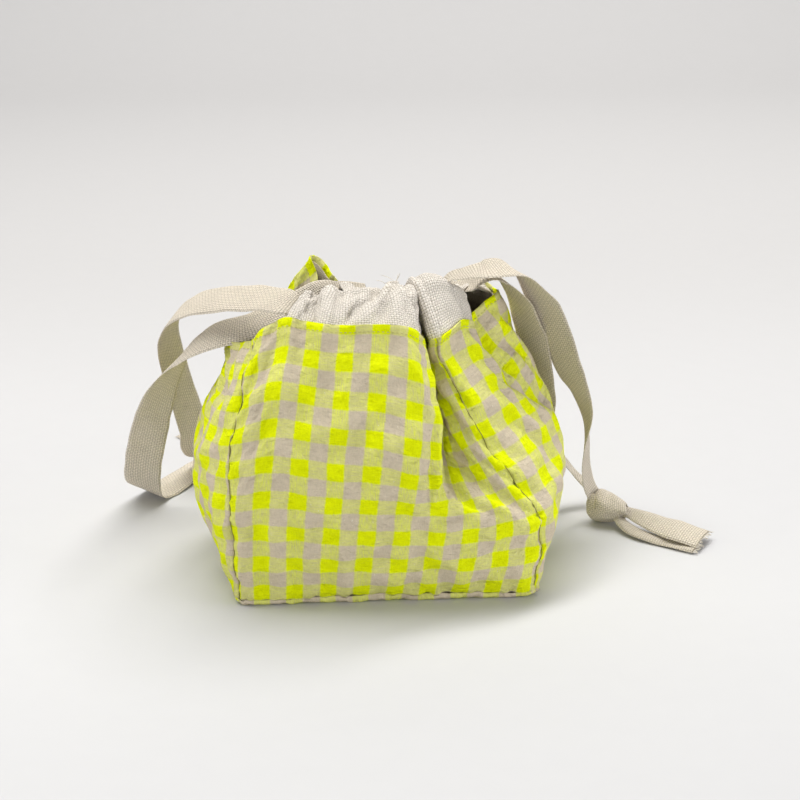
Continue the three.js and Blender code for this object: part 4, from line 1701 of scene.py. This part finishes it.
# ---------------------------------------------------------------- casings and stitching


@dataclass
class Casing:
    """A gathered channel of canvas along part of the mouth, in mm.

    A row of the crest has a place on the girth and a point; a crease has its place on the girth
    at the seam and at the crest, its depth and its width.
    """

    name: str
    node: str
    rests_on: str
    start: float
    end: float
    crest: Sequence[tuple[float, float, float, float]]
    heart: Point
    seed: int
    bag: BagBody
    creases: Sequence[tuple[float, float, float, float]] = ()
    cut_width: float = 42.0
    ply: float = 2.2
    sunk: float = 3.0
    behind: float = 1.3
    knee: float = 0.42
    dome: float = 4.0
    drawn_in: Point = (0.8, 0.3, 1.0)
    crown: float = 1.2
    fall: float = 14.0
    step: float = 1.9
    rows: int = 30
    last_share: float = 1.5
    gather: float = 0.9
    rounds: int = 12
    bend: float = 0.5
    slack: float = 1.02
    run_depth: float = 3.5
    run_width: float = 10.0
    run_ply: float = 0.3
    fray_row: int = 19
    fray_radius: float = 0.2

    def seam_line(self, along: np.ndarray) -> np.ndarray:
        """Find the seam, just inside the gingham's top edge, at places on the girth.

        Args:
            along: Places on the girth.

        Returns:
            Points of the seam.
        """
        walls, normals = self.bag.walls, self.bag.normals
        top, below, normal = (read_line(along, self.bag.along, grid, self.bag.shape.girth)
                              for grid in (walls[-1], walls[-3], normals[-2]))
        return top + unit(below - top) * self.sunk - unit(normal) * self.behind

    def crest_line(self, along: np.ndarray) -> np.ndarray:
        """Find the casing's crest at places on the girth.

        Args:
            along: Places on the girth.

        Returns:
            Points of the crest.
        """
        table = np.array(self.crest, dtype=float)
        line, mark = SmoothPath(table[:, 1:]).sample(0.4)
        return read_line(along, np.interp(mark, np.arange(len(table)), table[:, 0]), line)

    def channel(self, along: np.ndarray, shares: np.ndarray) -> np.ndarray:
        """Shape the smooth channel from its seam over the crest into the mouth.

        Args:
            along: Places on the girth.
            shares: 0 at the seam, 1 at the crest and more in the mouth.

        Returns:
            Points, one row for each share.
        """
        edge, crest = self.seam_line(along), self.crest_line(along)
        heart = np.array(self.heart)
        mouth = heart + (crest - heart) * np.array(self.drawn_in)
        knee = edge + (crest - edge) * self.knee + UP * self.dome
        rows = []
        for share in shares:
            if share <= 1.0:
                row = edge * (1 - share) ** 2 + knee * 2 * share * (1 - share) + crest * share**2
            else:
                beyond = (share - 1.0) / (self.last_share - 1.0)
                row = crest + (mouth - crest) * beyond
                arch = self.crown * math.sin(beyond * math.pi)
                row[:, 2] = crest[:, 2] + arch - self.fall * beyond**1.5
            rows.append(row)
        return np.stack(rows)

    def grid(self) -> np.ndarray:
        """Crease and gather the channel, and let its cloth settle.

        Returns:
            The settled grid, rows by columns.
        """
        count = int((self.end - self.start) / self.step) // 8 * 8 + 1
        along = np.linspace(self.start, self.end, count)
        shares = np.linspace(0.0, self.last_share, self.rows)
        points = self.channel(along, shares)
        normals = grid_normals(points, False)
        fade = smoothstep(0.0, 0.25, shares)[:, None]
        for first, last, depth, width in self.creases:
            place = first + (last - first) * np.minimum(shares, 1.2)[:, None]
            points = points - normals * (depth * bell(along[None] - place, width) * fade)[..., None]
        normals = grid_normals(points, False)
        grown = smoothstep(0.1, 1.0, shares)[:, None]
        wide = Ripple(self.seed, 11.0, 24.0).at(along[None], shares[:, None] * 9.0)
        fine = Ripple(self.seed + 1, 6.0, 12.0).at(along[None], shares[:, None] * 20.0)
        uneven = grown * wide * self.gather + (0.1 + 0.25 * grown) * fine
        points = points + normals * uneven[..., None]
        beyond = points[:, -1:] * 2 - points[:, -2:-1]
        across = np.linalg.norm(np.diff(points, axis=1, append=beyond), axis=-1) * self.slack
        above = points[-1:] * 2 - points[-2:-1]
        up = np.linalg.norm(np.diff(points, axis=0, append=above), axis=-1)
        hold = np.full(points.shape[:2], 0.03)
        hold[:2] = 1.0
        hold[:, [0, -1]] = np.maximum(hold[:, [0, -1]], 0.2)
        reach = np.broadcast_to((0.4 + 3.0 * smoothstep(0.0, 0.7, shares))[:, None], hold.shape)
        relaxer = ClothRelaxer(rounds=self.rounds, bend=self.bend)
        return relaxer.relax(points, across, up, hold, reach, False)

    def build(self) -> None:
        """Make the casing."""
        self.middle = self.grid()
        normals = grid_normals(self.middle, False)
        puff = np.sin(math.pi * np.linspace(0.0, 1.0, self.rows)) * 0.5 + 0.5
        half = (self.ply / 2 * puff)[:, None, None]
        steps = [np.linalg.norm(np.diff(self.middle, axis=axis), axis=-1).mean(axis=1 - axis)
                 for axis in (1, 0)]
        across, up = (np.concatenate([[0.0], np.cumsum(step)]) for step in steps)
        parts = MeshParts()
        parts.add_sheet(self.middle + normals * half, self.middle - normals * half,
                        flat_grid(across[None], up[:, None]))
        piece = parts.make(self.name, CANVAS)
        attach(piece, "bag")
        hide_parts(self.node)
        log.info("%s", self.name)

    def build_run(self, name: str, node: str, row: int) -> None:
        """Thread a stretch of tape through the channel.

        Args:
            name: Name of the piece.
            node: CAD node that it stands for.
            row: Row of the casing's grid that it follows.
        """
        above, line, below = (self.middle[row + step, 4:-4:6] for step in (4, 0, -4))
        width = np.full((len(line), 1), self.run_width)
        route = np.hstack([line - UP * self.run_depth, unit(above - below), width])
        parts = MeshParts()
        Tape(route, self.seed + 9, ply=self.run_ply, cup=0.0).add_to(parts)
        piece = parts.make(name, TAPE)
        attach(piece, "bag")
        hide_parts(node)
        log.info("%s", name)

    def build_fray(self, along: float, count: int) -> None:
        """Pull a tuft of loose yarns out of the crest.

        Args:
            along: Place of the tuft on the girth.
            count: Number of yarns.
        """
        dice = np.random.default_rng(77)
        share = (along - self.start) / (self.end - self.start)
        column = share * (self.middle.shape[1] - 1)
        parts = MeshParts()
        for _ in range(count):
            row = self.fray_row + int(dice.integers(-2, 2))
            root = self.middle[row, int(column + dice.uniform(-5, 5))]
            lean = unit(np.array([dice.uniform(*span) for span in FRAY_LEAN]))
            curl = np.array([dice.uniform(*span) for span in FRAY_CURL])
            step = np.linspace(-0.1, 1.0, 9)[:, None] * dice.uniform(5.0, 9.0)
            add_thread(parts, root + lean * step + curl * step**2 * 0.05, self.fray_radius)
        piece = parts.make(f"{self.node}_fray", FRAY)
        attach(piece, "bag")
        log.info("tuft of yarn")


@dataclass
class Stitching:
    """The row of stitches under the gingham's top edge, and dark threads sunk in its seams as
    painted shade of the seam lines.
    """

    bag: BagBody
    row: int = -3
    stitch: float = 1.3
    gap: float = 1.5
    stitch_radius: float = 0.26
    sunk: float = 0.12
    arch: tuple[float, ...] = (-0.5, 0.6, 0.9, 0.6, -0.5)
    seam_radius: float = 0.22
    seam_sunk: float = 0.7

    def build_stitches(self) -> None:
        """Sew the stitches, each a short arch of thread."""
        normal, line = (np.concatenate([grid[self.row], grid[self.row, :1]])
                        for grid in (self.bag.normals, self.bag.walls))
        line = line - normal * self.sunk
        run = lengths_along(line)
        steps = np.linspace(0.0, 1.0, len(self.arch)) * self.stitch
        arch = np.array(self.arch)[:, None] * self.stitch_radius
        parts = MeshParts()
        for start in np.arange(0.5, run[-1] - self.stitch, self.stitch + self.gap):
            spot, out = (read_line(start + steps, run, grid) for grid in (line, normal))
            add_thread(parts, spot + out * arch, self.stitch_radius)
        piece = parts.make("top_stitches", THREAD)
        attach(piece, "bag")

    def build_seams(self) -> None:
        """Lay a dark thread in each upright seam, painted shade of the seam's groove."""
        parts = MeshParts()
        depth = self.bag.relief.depth * self.seam_sunk
        for seam in self.bag.seams[:-1]:
            wall, normal = (grid[1:-1:2, seam] for grid in (self.bag.walls, self.bag.normals))
            add_thread(parts, wall - normal * depth, self.seam_radius)
        # painted shade along the seams
        piece = parts.make("seam_shadow_threads", SEAM_SHADOW)
        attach(piece, "bag")

    def build(self) -> None:
        """Sew both."""
        self.build_stitches()
        self.build_seams()
        log.info("stitching")


# ---------------------------------------------------------------- the bag's own sizes


def left_drawstring() -> Drawstring:
    """Give the left drawstring's routes.

    Returns:
        The drawstring, ready to build.
    """
    upper = Tape([
        (-33, -25, 180, 0.2, 0.8, 0.5, 8), (-41, -29.5, 179, 0.2, 0.8, 0.5, 10),
        (-50, -33.5, 179, 0.3, 0.8, 0.45, 13), (-57, -31, 181.5, 0.45, 0.75, 0.4, 19),
        (-65, -22, 181.5, 0.55, 0.75, 0.35, 24), (-92, 3, 175, 0.53, 0.7, 0.47, 25),
        (-120, 36, 160, 0.53, 0.7, 0.47, 25), (-134, 68, 134, 0.53, 0.7, 0.47, 25),
        (-131, 98, 92, 0.53, 0.7, 0.47, 25), (-124, 128, 48, 0.6, 0.6, 0.4, 25),
        (-118, 150, 16, 0.8, -0.3, 0.2, 25), (-111, 163, 9, 0.8, -0.5, 0, 16),
        (-103, 172, 10, 0.8, -0.5, 0, 11),
    ], seed=101)
    lower = Tape([
        (-6.5, 46, 165.5, 0.3, 0.8, 0.5, 11), (-14, 44, 167, 0.3, 0.8, 0.5, 12),
        (-24, 39, 168.5, 0.3, 0.8, 0.5, 13), (-31, 35, 169, 0.3, 0.8, 0.5, 17),
        (-42, 23.5, 166, 0.3, 0.8, 0.5, 23), (-60, 11, 161, 0.25, 0.85, 0.45, 25),
        (-80, 3, 156.5, 0.2, 0.85, 0.45, 25), (-100, 7, 151, 0.25, 0.85, 0.42, 25),
        (-120, 21, 136, 0.5, 0.65, 0.5, 25), (-136, 46, 107, 0.8, 0.4, 0.25, 25),
        (-150, 75, 61, 0.9, 0.15, -0.12, 25), (-157, 95, 20, 0.88, 0, -0.38, 25),
        (-153, 107, 6, 0.8, -0.45, -0.2, 25), (-140, 128, 2.2, 0.83, -0.55, 0, 25),
        (-121, 159, 3, 0.83, -0.55, 0, 22), (-104, 172, 7, 0.83, -0.55, 0, 11),
    ], seed=111)
    tails = [
        Tape([
            (-95, 179, 9, 0.7, -0.6, 0.1, 11), (-90, 183, 8, 0.7, -0.6, 0.1, 16),
            (-79, 194, 3, 0.7, -0.7, 0, 24), (-63, 205, 1.5, 0.6, -0.8, 0, 25),
            (-47, 212, 1.5, 0.3, -0.95, 0, 25),
        ], seed=121),
        Tape([
            (-105, 182, 9, 0.9, 0.3, 0.1, 11), (-107, 189, 7, 0.9, 0.3, 0.1, 16),
            (-112, 202, 3, 0.9, 0.4, 0, 24), (-120, 217, 1.5, 0.9, 0.5, 0, 25),
            (-131, 231, 1.5, 0.8, 0.6, 0, 25),
        ], seed=131),
    ]
    return Drawstring(
        side=Side.LEFT, upper=upper, lower=lower, tails=tails,
        knot=Knot(at=(-102, 174, 10.3), turn=0.65),
        exits=((-57, -31, 181.5), (-31, 33.5, 169.5)),
        hinge_start=((-58, -30, 181.5), (-34, 31, 169)),
        hinge_end=((-80, -8, 178.5), (-58, 31, 163)))


def right_drawstring() -> Drawstring:
    """Give the right drawstring's routes.

    Returns:
        The drawstring, ready to build.
    """
    upper = Tape([
        (32, -5, 178, 0.3, 0.9, 0.2, 12), (42, -1, 186, 0.3, 0.9, 0.2, 13),
        (52, 1, 188, 0.2, 0.95, 0.2, 16), (59, 2, 189, 0.1, 0.95, 0.2, 22),
        (66.5, 2, 190.5, 0.1, 0.95, 0.2, 25), (82, 7, 189, -0.3, 0.93, 0.1, 25),
        (103, 20, 163, -0.78, 0.62, 0, 25), (123, 33, 114, -0.72, 0.68, 0.05, 25),
        (134.5, 42, 86, -0.35, 0.93, 0, 24), (139, 49, 58, 0.32, 0.95, 0, 22),
        (141, 54, 30, 0.48, 0.88, 0.1, 19), (146, 53, 18, 0.45, 0.8, 0.3, 15),
        (153, 48, 12, 0.4, 0.7, 0.3, 11),
    ], seed=141)
    lower = Tape([
        (44, 28, 173, -0.1, 0.95, 0.1, 12), (52, 24, 174, -0.1, 0.95, 0.1, 13),
        (58, 19.5, 177, -0.15, 0.95, 0.1, 15), (62, 17, 181, -0.2, 0.95, 0.1, 19),
        (70, 18, 183.5, -0.2, 0.95, 0.1, 25), (87, 28, 166, -0.55, 0.82, 0.1, 25),
        (100, 42, 132, -0.78, 0.62, 0.1, 25), (111, 60, 90, -0.6, 0.8, 0.1, 22),
        (120, 73, 50, 0, 0.98, 0.15, 16), (136, 78, 24, 0.17, 0.98, 0.2, 11),
        (149, 72, 12, 0.2, 0.9, 0.4, 9), (153, 62, 10, 0.3, 0.6, 0.6, 9),
        (155, 50, 10, 0.3, 0.5, 0.7, 9),
    ], seed=151)
    tails = [
        Tape([
            (162, 41, 11, 0.4, 0.7, 0.3, 8), (168, 36, 11.5, 0.4, 0.7, 0.3, 9),
            (178, 27, 10, 0.45, 0.8, 0.25, 15), (193, 15, 8.3, 0.45, 0.8, 0.2, 23),
            (210, 4, 5.5, 0.4, 0.9, 0.1, 25),
        ], seed=161, cup=-1.8),
        Tape([
            (160, 37, 8, 0.5, 0.8, 0.3, 7), (163, 29, 5.5, 0.5, 0.8, 0.3, 8),
            (172, 18, 3, 0.6, 0.8, 0.1, 10), (188, 7, 2, 0.55, 0.85, 0, 12),
            (204, -4, 2, 0.5, 0.85, 0, 13),
        ], seed=171, ply=2.0, cup=-0.5),
    ]
    return Drawstring(
        side=Side.RIGHT, upper=upper, lower=lower, tails=tails,
        knot=Knot(at=(156, 46, 10.3), turn=-0.7),
        exits=((55, 9, 177.5), (58, 19.5, 177)),
        hinge_start=((58, 5, 185), (61, 17, 180)),
        hinge_end=((82, 7, 192), (84, 26, 170)))


def front_casing(bag: BagBody) -> Casing:
    """Give the front casing's sizes.

    Args:
        bag: The body that it is sewn to.

    Returns:
        The casing, ready to build.
    """
    return Casing(
        name="front_casing_canvas", node="front_casing", rests_on="front_panel",
        start=28.0, end=226.0, heart=(0.0, 4.0, 180.0), seed=5, bag=bag,
        crest=[
            (28, -46, -25, 185), (46, -36, -27, 188.5), (60, -25, -28, 187), (78, -12, -29, 187),
            (92, 0, -29, 190), (104, 7, -28, 191.5), (112, 11, -27, 190), (122, 16, -22, 187),
            (150, 18, -2, 176), (184, 19, -13, 189), (200, 30, -8, 191), (214, 42, -4, 185),
            (226, 52, 3, 175),
        ],
        creases=[
            (47, 40, 5.0, 3.5), (60, 90, 2.2, 3.5), (72, 95, -1.6, 4.0), (84, 99, 2.4, 3.0),
            (104, 104, 1.8, 3.0), (132, 116, 5.0, 3.5), (204, 192, 1.5, 4.5),
        ])


def back_casing(bag: BagBody) -> Casing:
    """Give the back casing's sizes.

    Args:
        bag: The body that it is sewn to.

    Returns:
        The casing, ready to build.
    """
    return Casing(
        name="back_casing_canvas", node="back_casing", rests_on="back_panel",
        start=298.0, end=466.0, heart=(0.0, 4.0, 165.0), seed=16, bag=bag, dome=1.0, fall=5.0,
        crest=[
            (298, 58, 22, 174), (336, 42, 30, 171), (382, 22, 34, 170), (406, 8, 33, 170),
            (452, -14, 32, 171), (466, -24, 33, 173),
        ])


def main() -> None:
    """Build the studio and every piece of the bag."""
    logging.basicConfig(level=logging.INFO, format="%(message)s")
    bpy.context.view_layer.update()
    Studio().build()
    left_drawstring().build()
    right_drawstring().build()
    bag = BagBody()
    bag.build()
    front, back = front_casing(bag), back_casing(bag)
    front.build()
    back.build()
    front.build_run("left_run_tape", "left_tape_run", CASING_RUN_ROW)
    back.build_run("right_run_tape", "right_tape_run", CASING_RUN_ROW)
    front.build_fray(98.0, 9)
    Stitching(bag).build()


if __name__ == "__main__":
    main()
